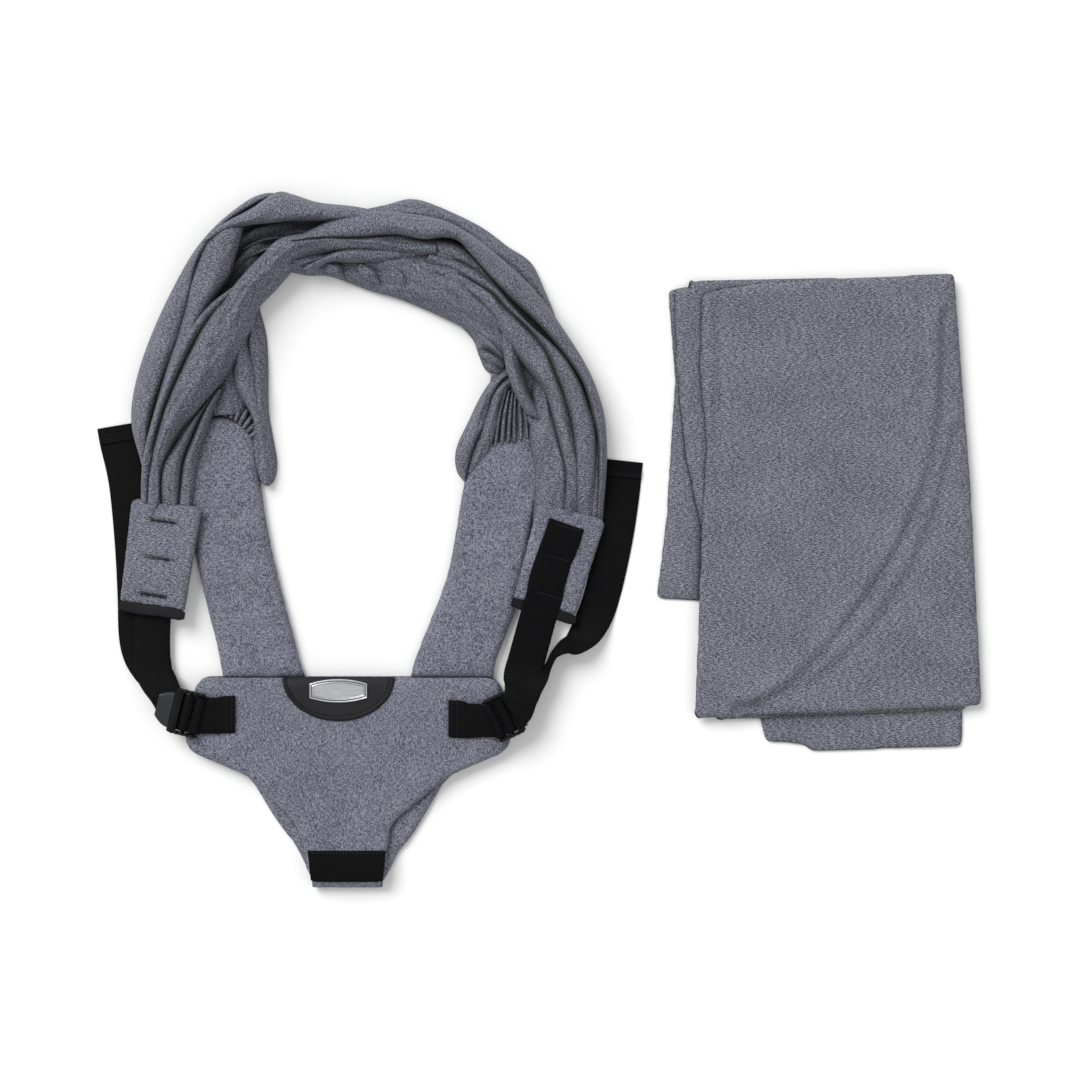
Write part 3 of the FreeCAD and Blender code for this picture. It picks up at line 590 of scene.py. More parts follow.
def right_spill():
    """Gathered end of the left band on the right shoulder strap, and the pouch beside it."""
    cloth = Surface()
    fold(cloth, [(112, 470), (128, 452), (134, 437), (141, 421), (150, 416)],
         [(150, 458), (155, 446), (158, 434), (160, 424), (162, 418)],
         [5, 4, 4, 5], [9, 9, 9, 9], [3, 4, 4, 3], 1.2, seed=21, columns=14)
    fold(cloth, [(150, 478), (157, 446), (161, 428), (165, 412), (171, 396), (179, 381), (186, 372),
                 (197, 371)],
         [(180, 474), (177, 449), (178, 429), (182, 410), (189, 392), (197, 379), (204, 368), (203, 362)],
         [16, 18, 19, 20, 20, 18], [17, 17, 17, 17, 16, 15], [5, 8, 9, 9, 8, 6], 1.6, seed=22)
    for number, line in enumerate((((133, 457), (147, 445), (160, 433)), ((136, 439), (149, 431),
                                                                          (161, 424)))):
        pleat(cloth, line, (2, 4), [13, 17, 14], [13, 17, 14], [3, 5, 3], 0.8, 36 + number, columns=14)
    fold(cloth, [(172, 424), (158, 419), (146, 408), (135, 391), (123, 366), (113, 345), (110, 330),
                 (112, 316), (118, 307)],
         [(174, 412), (162, 408), (151, 394), (145, 374), (138, 354), (132, 340), (127, 326), (124, 314),
          (121, 306)],
         [8, 5, 4, 4, 4, 4, 4, 4], [14, 13, 12, 11, 10, 9, 8, 7], [4, 6, 7, 7, 7, 6, 4, 1], 2.2, seed=23)
    fold(cloth, [(173, 416), (160, 411), (149, 397), (142, 376), (134, 355), (129, 340), (125, 327),
                 (122, 315)],
         [(176, 404), (165, 398), (157, 381), (154, 360), (150, 347), (145, 334), (137, 322), (128, 312)],
         [14, 14, 13, 12, 11, 10, 9, 7], [14, 14, 13, 13, 12, 10, 8, 6], [3, 4, 5, 5, 5, 4, 3, 1], 1.2,
         seed=33,
         columns=16)
    fold(cloth, [(156, 462), (149, 425), (143, 388), (138, 352), (140, 330)],
         [(206, 462), (206, 425), (208, 388), (208, 352), (206, 330)],
         [9, 9, 7, 4, 4], [9, 9, 8, 6, 6], [5, 5, 4, 4, 3], 1.0, seed=20)
    pleats = 8
    for number in range(pleats):
        share = number / (pleats - 1)
        jitter = noise.noise((number * 1.7, 3.1, 0.5)) * 3
        foot = Vector((145 + 46 * share, 340 + 12 * share + jitter * 0.6))
        top = Vector((159 + 24 * share + jitter * 0.5, 402 - 14 * share))
        bend = (foot + top) / 2 + Vector((-3 + 5 * share + jitter * 0.7, 2))
        half = 3.1 + 0.25 * jitter * (-1) ** number
        heights = [14, 10 + jitter, 8]
        pleat(cloth, (top, bend, foot), [(2, 0), (half, 0), (half, 0)], heights, heights, [3, 5, 3], 0.4,
              24 + number, step=2.5, columns=10)
    fold(cloth, [(182, 371), (187, 361), (194, 353), (200, 352)], [(190, 374), (196, 368), (201, 361),
                                                                   (205, 357)],
         [12, 13, 13], [16, 16, 15], [3, 4, 2], 0.3, seed=32, columns=10)
    return cloth


def left_spill():
    """Gathered end of the right band on the left shoulder strap, and the loop that hangs beside it."""
    cloth = Surface()
    fold(cloth, [(-150, 372), (-152, 412), (-136, 455), (-112, 486)], [(-100, 376), (-96, 410), (-94, 450),
                                                                       (-90, 484)],
         [6, 6, 7, 8], [5, 5, 5, 6], [5, 6, 6, 5], 1.8, seed=41)
    fold(cloth, [(-108, 476), (-106, 449), (-101, 427), (-98, 398), (-97, 378), (-99, 353), (-98, 330),
                 (-95, 315), (-90, 306), (-85, 302)],
         [(-91, 484), (-85, 461), (-83, 443), (-82, 420), (-82, 398), (-81, 374), (-76, 345), (-73, 326),
          (-74, 313), (-77, 305), (-82, 301)],
         [8, 8, 8, 8, 7, 6], [5, 4, 4, 4, 4, 4], [5, 7, 7, 6, 6, 4], 1.0, seed=42, step=2)
    fold(cloth, [(-112, 462), (-119, 430), (-118, 407), (-110, 392), (-101, 378), (-95, 362), (-92, 344),
                 (-91, 326), (-90, 311)],
         [(-99, 462), (-100, 445), (-96, 427), (-91, 402), (-87, 385), (-84, 362), (-82, 342), (-80, 324),
          (-82, 309)],
         [10, 11, 12, 12, 12, 10, 7], [10, 11, 11, 10, 9, 8, 7], [5, 7, 7, 6, 5, 4, 3], 0.8, seed=43,
         columns=16)
    pleats = 11
    for number in range(pleats):
        share = number / (pleats - 1)
        turn = math.radians(112 - 86 * share)
        centre = Vector((-133, 346)) + Vector((3, -8)) * share
        inner = centre + Vector((math.cos(turn) * 33, math.sin(turn) * 30))
        outer = centre + Vector((math.cos(turn) * 46, math.sin(turn) * 49))
        aside = Vector((math.sin(turn), -math.cos(turn))) * 3.4
        pleat(cloth, (inner, (inner + outer) / 2, outer), [aside, aside * 1.1, aside * 0.9],
              [9, 9, 7], [9, 9, 7], [2.5, 4, 3], 0.3, 44 + number, step=2.5, columns=10)
    return cloth


# ---------------------------------------------------------------- padded pieces
def top_outline(node):
    """Outline of a CAD node's upward face, as 2D points on the face's own plane, with that plane."""
    mesh = frame["nodes"][node].data
    largest = max((p for p in mesh.polygons if p.normal.z > 0.5), key=lambda p: p.area)
    normal = largest.normal.copy()
    level = largest.center.dot(normal)
    used = {}
    for polygon in mesh.polygons:
        if polygon.normal.dot(normal) > 0.999 and abs(polygon.center.dot(normal) - level) < 1e-5:
            for a, b in polygon.edge_keys:
                used[a, b] = used.get((a, b), 0) + 1
    loose = {}
    for (a, b), count in used.items():
        if count == 1:
            loose.setdefault(a, []).append(b)
            loose.setdefault(b, []).append(a)
    loops, seen = [], set()
    for start in loose:
        if start in seen:
            continue
        loop, here = [start], start
        seen.add(start)
        while True:
            ahead = [v for v in loose[here] if v not in seen]
            if not ahead:
                break
            here = ahead[0]
            seen.add(here)
            loop.append(here)
        loops.append(loop)
    loop = max(loops, key=len)
    x_axis = Vector((1, 0, 0)) - normal * normal.x
    x_axis.normalize()
    y_axis = normal.cross(x_axis)
    origin = normal * level
    flat = [((mesh.vertices[i].co - origin).dot(x_axis) / MM,
             (mesh.vertices[i].co - origin).dot(y_axis) / MM)
            for i in loop]
    area = sum(flat[i - 1][0] * flat[i][1] - flat[i][0] * flat[i - 1][1] for i in range(len(flat)))
    if area < 0:
        flat.reverse()
    return flat, (origin / MM, x_axis, y_axis, normal)


def closed_line(points, step):
    """Points evenly spaced round a closed outline, with straight stretches kept straight."""
    ring = np.array(points + points[:1], float)
    reach = lengths(ring)
    count = int(reach[-1] / step)
    at = np.linspace(0, reach[-1], count, endpoint=False)
    return np.stack([np.interp(at, reach, ring[:, k]) for k in (0, 1)], axis=1)


def edge_distance(points, ring):
    """Distance of each point from a closed outline."""
    ends = np.roll(ring, -1, axis=0) - ring
    square = (ends ** 2).sum(axis=1)
    best = np.full(len(points), 1e9)
    for start, span, size in zip(ring, ends, square):
        t = np.clip(((points - start) @ span) / size, 0, 1)
        best = np.minimum(best, np.linalg.norm(points - start - t[:, None] * span, axis=1))
    return best


def flat_mesh(outline, step):
    """Triangles over an outline: (points, triangles, distance of each point from the edge)."""
    ring = closed_line(outline, step)
    low, high = ring.min(axis=0), ring.max(axis=0)
    grid = []
    for row, y in enumerate(np.arange(low[1], high[1], step * 0.866)):
        for x in np.arange(low[0] + (row % 2) * step / 2, high[0], step):
            grid.append((x, y))
    grid = np.array(grid)
    grid = grid[edge_distance(grid, ring) > step * 0.6]
    count = len(ring)
    border = [(i, (i + 1) % count) for i in range(count)]
    places = [Vector(p) for p in np.vstack([ring, grid])]
    points, _, faces, *_ = delaunay_2d_cdt(places, border, [], 1, 1e-5)
    points = np.array(points)
    return points, faces, edge_distance(points, ring)


def pillow(outline, thick, step, rounding):
    """Two sheets joined round their edge, plump between: (points, faces)."""
    flat, triangles, distance = flat_mesh(outline, step)
    share = np.clip(distance / rounding, 0, 1)
    height = thick / 2 * np.sqrt(1 - (1 - share) ** 2)
    on_edge = distance < 1e-3
    below = np.where(on_edge, np.arange(len(flat)), 0)
    inner = np.flatnonzero(~on_edge)
    below[inner] = len(flat) + np.arange(len(inner))
    top = np.column_stack([flat, height])
    bottom = np.column_stack([flat[inner], -height[inner]])
    faces = [tuple(f) for f in triangles] + [tuple(below[i] for i in reversed(f)) for f in triangles]
    return np.vstack([top, bottom]), faces


SWELL_FRAMES = 20


def inflate(piece, cap):
    """Swells a closed mesh by cloth simulation under pressure. No point moves further than the cap."""
    rest = np.array([v.co for v in piece.data.vertices])
    cloth = piece.modifiers.new("Cloth", "CLOTH")
    settings = cloth.settings
    settings.quality = 5
    settings.mass = 0.3
    settings.tension_stiffness = 25
    settings.compression_stiffness = 25
    settings.bending_stiffness = 1.0
    settings.use_pressure = True
    settings.uniform_pressure_force = 4.0
    settings.effector_weights.gravity = 0.0
    scene = bpy.context.scene
    cloth.point_cache.frame_start = 1
    cloth.point_cache.frame_end = SWELL_FRAMES
    for number in range(1, SWELL_FRAMES + 1):
        scene.frame_set(number)
    settled = piece.evaluated_get(bpy.context.evaluated_depsgraph_get()).to_mesh()
    moved = np.array([v.co for v in settled.vertices]) - rest
    size = np.linalg.norm(moved, axis=1)
    limit = cap * MM
    shrink = limit * np.tanh(size / limit) / np.maximum(size, 1e-9)
    piece.modifiers.remove(cloth)
    piece.data.vertices.foreach_set("co", (rest + moved * shrink[:, None]).ravel())
    scene.frame_set(1)


def subdivide(piece):
    """Rounds a mesh by one level of subdivision."""
    modifier = piece.modifiers.new("Subdivision", "SUBSURF")
    modifier.levels = 1
    modifier.use_limit_surface = False
    finished = bpy.data.meshes.new_from_object(piece.evaluated_get(bpy.context.evaluated_depsgraph_get()))
    piece.modifiers.remove(modifier)
    piece.data = finished
    finished.polygons.foreach_set("use_smooth", [True] * len(finished.polygons))


def reshape(piece, change):
    """Moves every vertex by a function of its place, in millimetres."""
    places = np.array([v.co for v in piece.data.vertices]) / MM
    piece.data.vertices.foreach_set("co", (change(places) * MM).ravel())
    piece.data.update()


def pad(name, node, thick, material, step=5.0, cap=2.0, rounding=7.0, widen=None, uneven=0.5):
    """A padded piece on a CAD node's outline: two sheets sewn together, swollen by simulation."""
    outline, (origin, x_axis, y_axis, normal) = top_outline(node)
    if widen:
        outline = widen(outline)
    points, faces = pillow(outline, thick - 1.2, step, rounding)
    surface = Surface()
    middle = np.array(origin) - np.array(normal) * (thick / 2)
    world = middle + points @ np.array([x_axis, y_axis, normal])
    surface.add(world, faces, points[:, :2])
    piece = surface.piece(name, material)
    inflate(piece, cap)
    subdivide(piece)
    low = float(np.min(world[:, 2]))
    up = np.array(normal)

    def refit(places):
        """Swelling draws the edge in, so the pad is stretched back to its outline."""
        for axis, wanted in ((np.array(x_axis), points[:, 0]), (np.array(y_axis), points[:, 1])):
            share = (places - middle) @ axis
            spread = (wanted.max() - wanted.min()) / (share.max() - share.min())
            target = wanted.min() + (share - share.min()) * spread
            places = places + np.outer(target - share, axis)
        return places

    reshape(piece, refit)

    def settle(places):
        """Uneven filling, and a flat underside where the pad rests."""
        for i, spot in enumerate(places):
            lift = noise.noise(spot / 34) * uneven + noise.noise(spot / 11) * uneven * 0.35
            if (spot - middle) @ up > 0:
                places[i] = spot + up * lift
        if low < 2:
            places[:, 2] = np.maximum(places[:, 2], 0.15)
        return places

    reshape(piece, settle)
    return piece


def surface_height(pieces):
    """Function that gives the height of the topmost piece under a point."""
    trees = []
    for piece in pieces:
        mesh = piece.data
        trees.append(BVHTree.FromPolygons([v.co for v in mesh.vertices],
                                          [p.vertices[:] for p in mesh.polygons]))

    def height(x, y, fallback=0.0):
        found = fallback
        for tree in trees:
            hit = tree.ray_cast(Vector((x * MM, y * MM, 1.0)), Vector((0, 0, -1)))[0]
            if hit is not None:
                found = max(found, hit.z / MM)
        return found

    return height


# ---------------------------------------------------------------- stitches
def stitch_row(surface, start, end, pitch=3.4, length=2.5, radius=0.32):
    """A straight row of stitches, each a short sunk thread."""
    a, b = Vector(start), Vector(end)
    count = max(1, int((b - a).length / pitch))
    along_row = (b - a).normalized()
    across = along_row.cross(Vector((0, 0, 1))).normalized()
    up = across.cross(along_row)
    for i in range(count):
        centre = a.lerp(b, (i + 0.5) / count)
        points = []
        for share, size, drop in ((-0.5, 0.3, -0.35), (-0.3, 1, 0), (0.3, 1, 0), (0.5, 0.3, -0.35)):
            for k in range(6):
                turn = k * math.pi / 3
                points.append(centre + along_row * (share * length)
                              + across * (math.cos(turn) * radius * size)
                              + up * (math.sin(turn) * radius * size + drop))
        surface.add(points, tube_faces(4, 6), [(p.x, p.y) for p in points])


# ---------------------------------------------------------------- pouch
def taper_foot(outline):
    """The panels narrow a little where they are folded at the crotch."""
    foot = min(y for x, y in outline)
    sides = [x for x, y in outline if y < foot + 1]
    middle = (min(sides) + max(sides)) / 2
    return [(middle + (x - middle) * (1 - 0.06 * max(0.0, 1 - (y - foot) / 34)), y) for x, y in outline]


def draw_in(outline):
    """The back panel's edges are pulled in above the crotch, more so on the left."""
    outline = taper_foot(closed_line(outline, 6.0))
    foot = min(y for x, y in outline)
    middle = np.mean([x for x, y in outline if y < foot + 1])
    drawn = []
    for x, y in outline:
        shift, rise, spread = (5.0, 38, 20) if x < middle else (-4.0, 32, 13)
        drawn.append((x + shift * math.exp(-((y - foot - rise) / spread) ** 2), y))
    return drawn


def build_panels():
    back = pad("back_panel", "back_panel_face", 8.0, "woven", cap=1.0, rounding=5.5, widen=draw_in)
    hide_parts("back_panel_face", "back_panel_foam", "back_panel_lining")
    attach(back, "back_panel")
    front = pad("front_panel", "front_panel_face", 8.0, "woven", step=4.5, cap=1.6, rounding=5.5,
                widen=taper_foot)
    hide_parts("front_panel_face", "front_panel_foam", "front_panel_lining")
    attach(front, "front_panel")
    return front


def build_crotch(height):
    low, high = (np.array(corner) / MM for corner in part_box("crotch_webbing"))
    half, deep, middle = (high[0] - low[0]) / 2, (high[1] - low[1]) / 2, (low[1] + high[1]) / 2
    # cloth round the fold
    fold_low, fold_high = (np.array(corner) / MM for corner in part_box("crotch_fold"))
    rise = (fold_low[2] + fold_high[2]) / 2
    turns = np.linspace(-math.pi / 2, math.pi / 2, 15)
    radius = (fold_high[2] - fold_low[2]) / 2 + 0.2
    line = [(0, fold_high[1] + 9 - math.cos(t) * (radius + 3.6), rise + math.sin(t) * radius)
            for t in turns]
    line = [(0, line[0][1] + 8, line[0][2])] + line + [(0, line[-1][1] + 8, line[-1][2])]
    cloth = Surface()
    flat_strip(cloth, line, (1, 0, 0), half * 0.93, 1.4)
    wrap = cloth.piece("crotch_fold_cloth", "woven")
    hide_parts("crotch_fold")
    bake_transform(wrap)
    # webbing over it
    strap = Surface()
    xs = np.linspace(-half, half, 30)
    path = [(x, middle, height(np.clip(x, -half + 6, half - 6), middle) + 0.9) for x in xs]
    flat_strip(strap, path, (0, -1, 0), deep, 1.8)
    strap.points = [(x * (1 + 0.04 * (y - middle) / deep), y + 1.6 * (abs(x) / half) ** 10 * (y < middle),
                     z)
                    for x, y, z in strap.points]
    place(strap, "crotch_webbing_strap", "webbing", "front_panel", "crotch_webbing")
    thread = Surface()
    for y in (low[1] + 2.2, high[1] - 2.2):
        top = height(0, y) + 1.95
        stitch_row(thread, (-half + 2, y, top), (half - 2, y, top))
    place(thread, "crotch_stitches", "thread", "front_panel")


def build_label(height):
    """Half-round patch, the rounded piping on its curved edge and the blank badge."""
    low, high = (np.array(corner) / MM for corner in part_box("label_piping"))
    centre_x, top_y = (low[0] + high[0]) / 2, high[1]
    half, depth, pipe = (high[0] - low[0]) / 2, high[1] - low[1], 2.3
    turns = np.linspace(math.pi, 2 * math.pi, 49)

    def ellipse(inset):
        return [(centre_x + (half - inset) * math.cos(t), top_y + (depth - inset) * math.sin(t))
                for t in turns]

    # flat patch that follows the panel
    flat, triangles, distance = flat_mesh(ellipse(pipe), 3.0)
    patch = Surface()
    lifted = [(x, y, height(x, min(y, top_y - 4)) + 0.5 + 0.9 * min(1, d / 2.5)) for (x, y),
              d in zip(flat, distance)]
    count = len(lifted)
    under = [(x, y, z - 1.6) for x, y, z in lifted]
    edge = [i for i in range(count) if distance[i] < 1e-3]
    faces = [tuple(f) for f in triangles] + [tuple(count + i for i in reversed(f)) for f in triangles]
    ring = len(edge)
    faces += [(edge[i], count + edge[i], count + edge[(i + 1) % ring], edge[(i + 1) % ring])
              for i in range(ring)]
    patch.add(lifted + under, faces, [p[:2] for p in lifted + under])
    place(patch, "label_patch_cloth", "label", "front_panel", "label_patch")
    # piping
    line = np.array([(x, y, height(x, min(y, top_y - 4)) + 0.9) for x, y in ellipse(pipe)])
    points, places = [], []
    for row, (centre, direction) in enumerate(zip(line, directions(line))):
        side = np.cross(direction, (0, 0, 1.0))
        side /= np.linalg.norm(side)
        for k in range(12):
            turn = k * math.pi / 6
            points.append(centre + side * math.cos(turn) * pipe + np.array((0, 0, 1.3 * math.sin(turn))))
            places.append((k, row * 2))
    cord = Surface()
    cord.add(points, tube_faces(len(line), 12), places)
    place(cord, "label_piping_cord", "piping", "front_panel", "label_piping")
    build_badge(height)


def build_badge(height):
    low, high = (np.array(corner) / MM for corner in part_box("label_badge"))
    centre = (low + high) / 2
    half_length, half_height = (high[0] - low[0]) / 2, (high[1] - low[1]) / 2
    base = max(height(centre[0], low[1] + rise) for rise in (0, 5, 10)) + 1.2

    def ring(inset, z):
        """Bowed long sides and straight short ends, pulled in by inset."""
        a, b = half_length - inset, half_height - inset
        corner = half_height * 0.62 - inset * 0.8
        side = [(a * s, corner + (b - corner) * (1 - s * s), z) for s in np.linspace(1, -1, 25)]
        side += [(-a, y, z) for y in np.linspace(corner, -corner, 9)[1:-1]]
        return side + [(-x, -y, z) for x, y, z in side]

    rims = [(0.0, 0.3), (0.0, 1.7), (0.3, 2.1), (0.8, 2.3), (1.4, 2.1), (1.7, 1.5), (2.4, 1.5), (2.7, 2.0),
            (3.2, 2.2), (3.7, 1.9), (4.0, 1.4), (4.3, 1.35)]
    surface = Surface()
    points = [Vector((x + centre[0], y + centre[1], z + base)) for inset, rise in rims for x, y,
              z in ring(inset, rise)]
    count = len(ring(0, 0))
    surface.add(points, tube_faces(len(rims), count), [(p.x, p.y) for p in points])
    piece = place(surface, "badge_plate", "badge", "front_panel", "label_badge")
    piece.data.materials.append(MATERIALS["piping"])
    for polygon in piece.data.polygons:
        if polygon.index // count in (5, 9) and len(polygon.vertices) == 4:
            polygon.material_index = 1


# ---------------------------------------------------------------- shoulder straps and tabs
def build_shoulders():
    seam = JOINTS["loop_lift"]["pos_m"][1] / MM
    for side in ("left", "right"):
        def tuck(outline):
            """The foot runs on under the front panel's edge."""
            return [(x, y - 9) if y < seam + 4 else (x, y) for x, y in outline]

        piece = pad(side + "_shoulder_pad", side + "_shoulder_face", 12.0, "woven_" + side, cap=1.6,
                    rounding=8.0, widen=tuck)

        def thin_foot(places):
            """The pad thins towards its seam, so that the front panel lies over it."""
            share = np.clip((places[:, 1] - (seam - 6)) / 14, 0, 1)
            top = 7.6 + 20 * share * share * (3 - 2 * share)
            places[:, 2] = np.minimum(places[:, 2], top)
            return places

        reshape(piece, thin_foot)
        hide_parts(*(f"{side}_shoulder_{layer}" for layer in ("face", "foam", "lining")))
        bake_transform(piece)


def build_tab(side):
    """Padded tab, its binding and its bar tacks, sunk into the padding."""
    body = side + "_tab"
    material = "smooth_jersey" if side == "left" else "woven"
    longer, wider = (5.0, 2.6) if side == "left" else (0.0, 1.2)

    def stretch(outline):
        """The soft cloth stands out round the firm core, and its lower edge sags."""
        return [(x + wider * (x - middle_x) / half_width, y - longer * max(0.0, middle_y - y) / half_length)
                for x, y in outline]

    flat, plane = top_outline(body + "_face")
    flat, normal = np.array(flat), plane[3]
    middle_x, middle_y = (flat.max(axis=0) + flat.min(axis=0)) / 2
    half_width, half_length = (flat.max(axis=0) - flat.min(axis=0)) / 2
    piece = pad(body + "_pad", body + "_face", 9.0, material, step=3.0, cap=2.2, rounding=5.0,
                widen=stretch)
    slide = Vector(JOINTS[body + "_tighten"]["axis"])
    ahead = -slide
    across = ahead.cross(normal).normalized()
    centre = sum((Vector(v.co) for v in piece.data.vertices), Vector()) / len(piece.data.vertices) / MM
    tacks = (33, -5, -43) if side == "left" else (33, 0, -39)
    dents = tacks if side == "left" else ()

    def sink(places):
        for i, spot in enumerate(places):
            off = Vector(spot) - centre
            u, v = off.dot(across), off.dot(ahead)
            if off.dot(normal) > 0:
                for dent in dents:
                    reach = math.exp(-((v - dent) / 2.4) ** 2) / (1 + math.exp((abs(u) - 16) / 1.5))
                    pucker = 0.25 * math.exp(-((v - dent) / 7) ** 2) * (1 + math.sin(u * 0.9))
                    places[i] = places[i] - np.array(normal) * (3.4 * reach + pucker)
        return places

    reshape(piece, sink)
    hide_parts(*(f"{body}_{layer}" for layer in ("face", "foam", "lining")))
    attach(piece, body)
    # binding along the lower edge
    binding = Surface()
    half, deep = 34.5, 5.6
    end = centre - ahead * (56.0 + longer / 2)
    shares = np.linspace(-1, 1, 30)
    line = np.array([end + across * (u * half) + ahead * (0.5 * math.sin(u * 5))
                     + Vector(normal) * math.sin(u * 4) * 0.5
                     for u in shares])
    side_way = np.tile(np.array(ahead), (len(line), 1))
    up = np.tile(np.array(normal), (len(line), 1))
    strip(binding, line, side_way, up, deep * (1 - 0.35 * np.abs(shares) ** 12), 5.0, columns=12)
    place(binding, body + "_binding_tape", "binding", body, body + "_binding")
    # bar tacks
    thread = Surface()
    lift = 2.3 if side == "left" else 6.6
    for tack in tacks:
        row = centre + ahead * tack + Vector(normal) * lift
        for shift in (-0.5, 0.5):
            stitch_row(thread, row + ahead * shift - across * 14, row + ahead * shift + across * 14, 1.5,
                       1.4, 0.28)
    place(thread, body + "_tack_thread", "thread", body, body + "_bar_tacks")


# ---------------------------------------------------------------- adjusting straps
# shares of a strap's length where it passes from following one body to following the next
STATIONS = {"left": (0.32, 0.60, 0.70, 0.84), "right": (0.46, 0.66, 0.76, 0.88)}
TAIL_STATIONS = {"left": (0.02, 0.07, 0.15, 0.42), "right": (0.04, 0.12, 0.2, 0.5)}


# sizes of a buckle, measured from its loop bar
BAR_PLACE = 11.3
RAIL_START = -4.6
RIDGE_PITCH = 5.6
PLATE_START = 24.0
BUCKLE_DIP = math.radians(3)


def buckle_point(side, u, up):
    """A point in the middle of a buckle: u runs from its loop bar to its tongue."""
    joint = JOINTS[side + "_buckle_lift"]
    axis, origin = Vector(joint["axis"]), Vector(joint["pos_m"]) / MM
    out = Vector((-axis.y, axis.x, 0))
    level, rise = math.cos(BUCKLE_DIP), math.sin(BUCKLE_DIP)
    return origin + out * (u * level + up * rise) + Vector((0, 0, up * level - u * rise))


def strap_stretch(name, path, rolls, widths, bodies, stations):
    """Webbing along a path, as pieces that each bend from one body to the next.
    Stations are shares of its length where a piece ends and both neighbours follow one body."""
    rows = 161
    line, across, normal, width = strap_frame(path, rolls, widths, rows)
    reach = lengths(line)
    stops = [0] + [round(share * (rows - 1)) for share in stations] + [rows - 1]
    pieces = []
    for number, pair in enumerate(bodies):
        part = slice(stops[number], stops[number + 1] + 1)
        surface = Surface()
        strip(surface, line[part], across[part], normal[part], width[part] / 2, WEBBING_THICK,
              reach[stops[number]])
        piece = surface.piece(f"{name}_{number + 1}", "webbing")
        if isinstance(pair, str):
            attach(piece, pair)
        else:
            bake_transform(piece)
        pieces.append(piece)
    return pieces


def build_buckle(side):
    """Moulded ladder lock: ridged side rails, three round bars and a thumb plate that lifts."""
    half, rail = WEBBING / 2 + 0.6, 3.6
    outer, tongue = (22.9, 43.0) if side == "left" else (21.8, 33.0)
    rail_end = outer + (4.5 if side == "left" else 2.5)
    axis = Vector(JOINTS[side + "_buckle_lift"]["axis"])
    surface = Surface()

    def solid(rows):
        """Closed tube through rings of (u, along the bars, up) points."""
        ring = len(rows[0])
        points = [buckle_point(side, u, up) + axis * v for row in rows for u, v, up in row]
        surface.add(points, tube_faces(len(rows), ring), [(p.x, p.y) for p in points])

    def oval(u, up, v, wide, tall, count=16):
        turns = [2 * math.pi * k / count for k in range(count)]
        return [(u + wide * math.cos(t), v, up + tall * math.sin(t)) for t in turns]

    for u, up, wide, tall in ((0, 0, 2.3, 2.2), (BAR_PLACE, 0, 2.1, 2.1), (outer, 1.9, outer - 18.0, 2.9)):
        solid([oval(u, up, v, wide, tall) for v in np.linspace(-half - 2, half + 2, 12)])
    for sign in (-1, 1):
        rows = []
        for u in np.linspace(RAIL_START, rail_end, 41):
            end = 1 - abs(2 * (u - RAIL_START) / (rail_end - RAIL_START) - 1) ** 8
            swell = (1 + 0.10 * math.cos(u * 2 * math.pi / RIDGE_PITCH)) * max(end, 0.05) ** 0.5
            middle = sign * (half + rail / 2)
            rows.append([(u, middle + sign * rail / 2 * swell * math.cos(t) * 1.15,
                          0.9 + 3.6 * swell * math.sin(t)) for t in np.linspace(0, 2 * math.pi, 14,
                                                                                endpoint=False)])
        solid(rows)
    sheet = []
    top = 1 if axis.y > 0 else -1
    for u in np.linspace(PLATE_START, tongue, 18):
        share = (u - PLATE_START) / (tongue - PLATE_START)
        taper = max(0, (share - 0.2) / 0.8) ** 1.8
        high, low = (half - 0.8) * (1 - 0.34 * taper), (half - 0.8) * (1 - 0.5 * taper)
        rise = 1.2 + 1.6 * share ** 2
        thick = 1.1 * (1 - 0.6 * share ** 6)
        cross = np.linspace(-1, 1, 15)
        spread = [(top * v * (high if v > 0 else low), thick * (1 - abs(v) ** 10) ** 0.5) for v in cross]
        upper = [(u, v, rise + swell) for v, swell in spread]
        lower = [(u, v, rise - swell) for v, swell in reversed(spread[1:-1])]
        sheet.append(upper + lower)
    frame_faces = len(surface.faces)
    solid(sheet)
    piece = place(surface, side + "_ladder_lock", "plastic", side + "_buckle", side + "_buckle")
    # The plate takes the paler copy of the plastic, a painted reflection.
    piece.data.materials.append(MATERIALS["plate"])
    for polygon in piece.data.polygons[frame_faces:]:
        polygon.material_index = 1


def build_bight(side):
    """Webbing round the buckle's centre bar, with both layers leaving under the ladder bar."""
    end = 29
    loop = [(end, -3.2), (24, -3.0), (16, -3.1), (BAR_PLACE, -3.1)]
    loop += [(BAR_PLACE + 4.6 * math.sin(t), -3.4 * math.cos(t)) for t in np.linspace(-0.5, -2.6, 6)]
    loop += [(BAR_PLACE, 3.9), (14.8, 3.0), (17.4, 0.2), (19.5, -1.6), (24, -2.0), (end, -1.7)]
    line = smooth_line([buckle_point(side, u, up) for u, up in loop], 60)
    surface = Surface()
    flat_strip(surface, line, JOINTS[side + "_buckle_lift"]["axis"], WEBBING / 2 - 0.3, 1.3)
    place(surface, side + "_bight_webbing", "webbing", side + "_buckle", side + "_strap_bight")


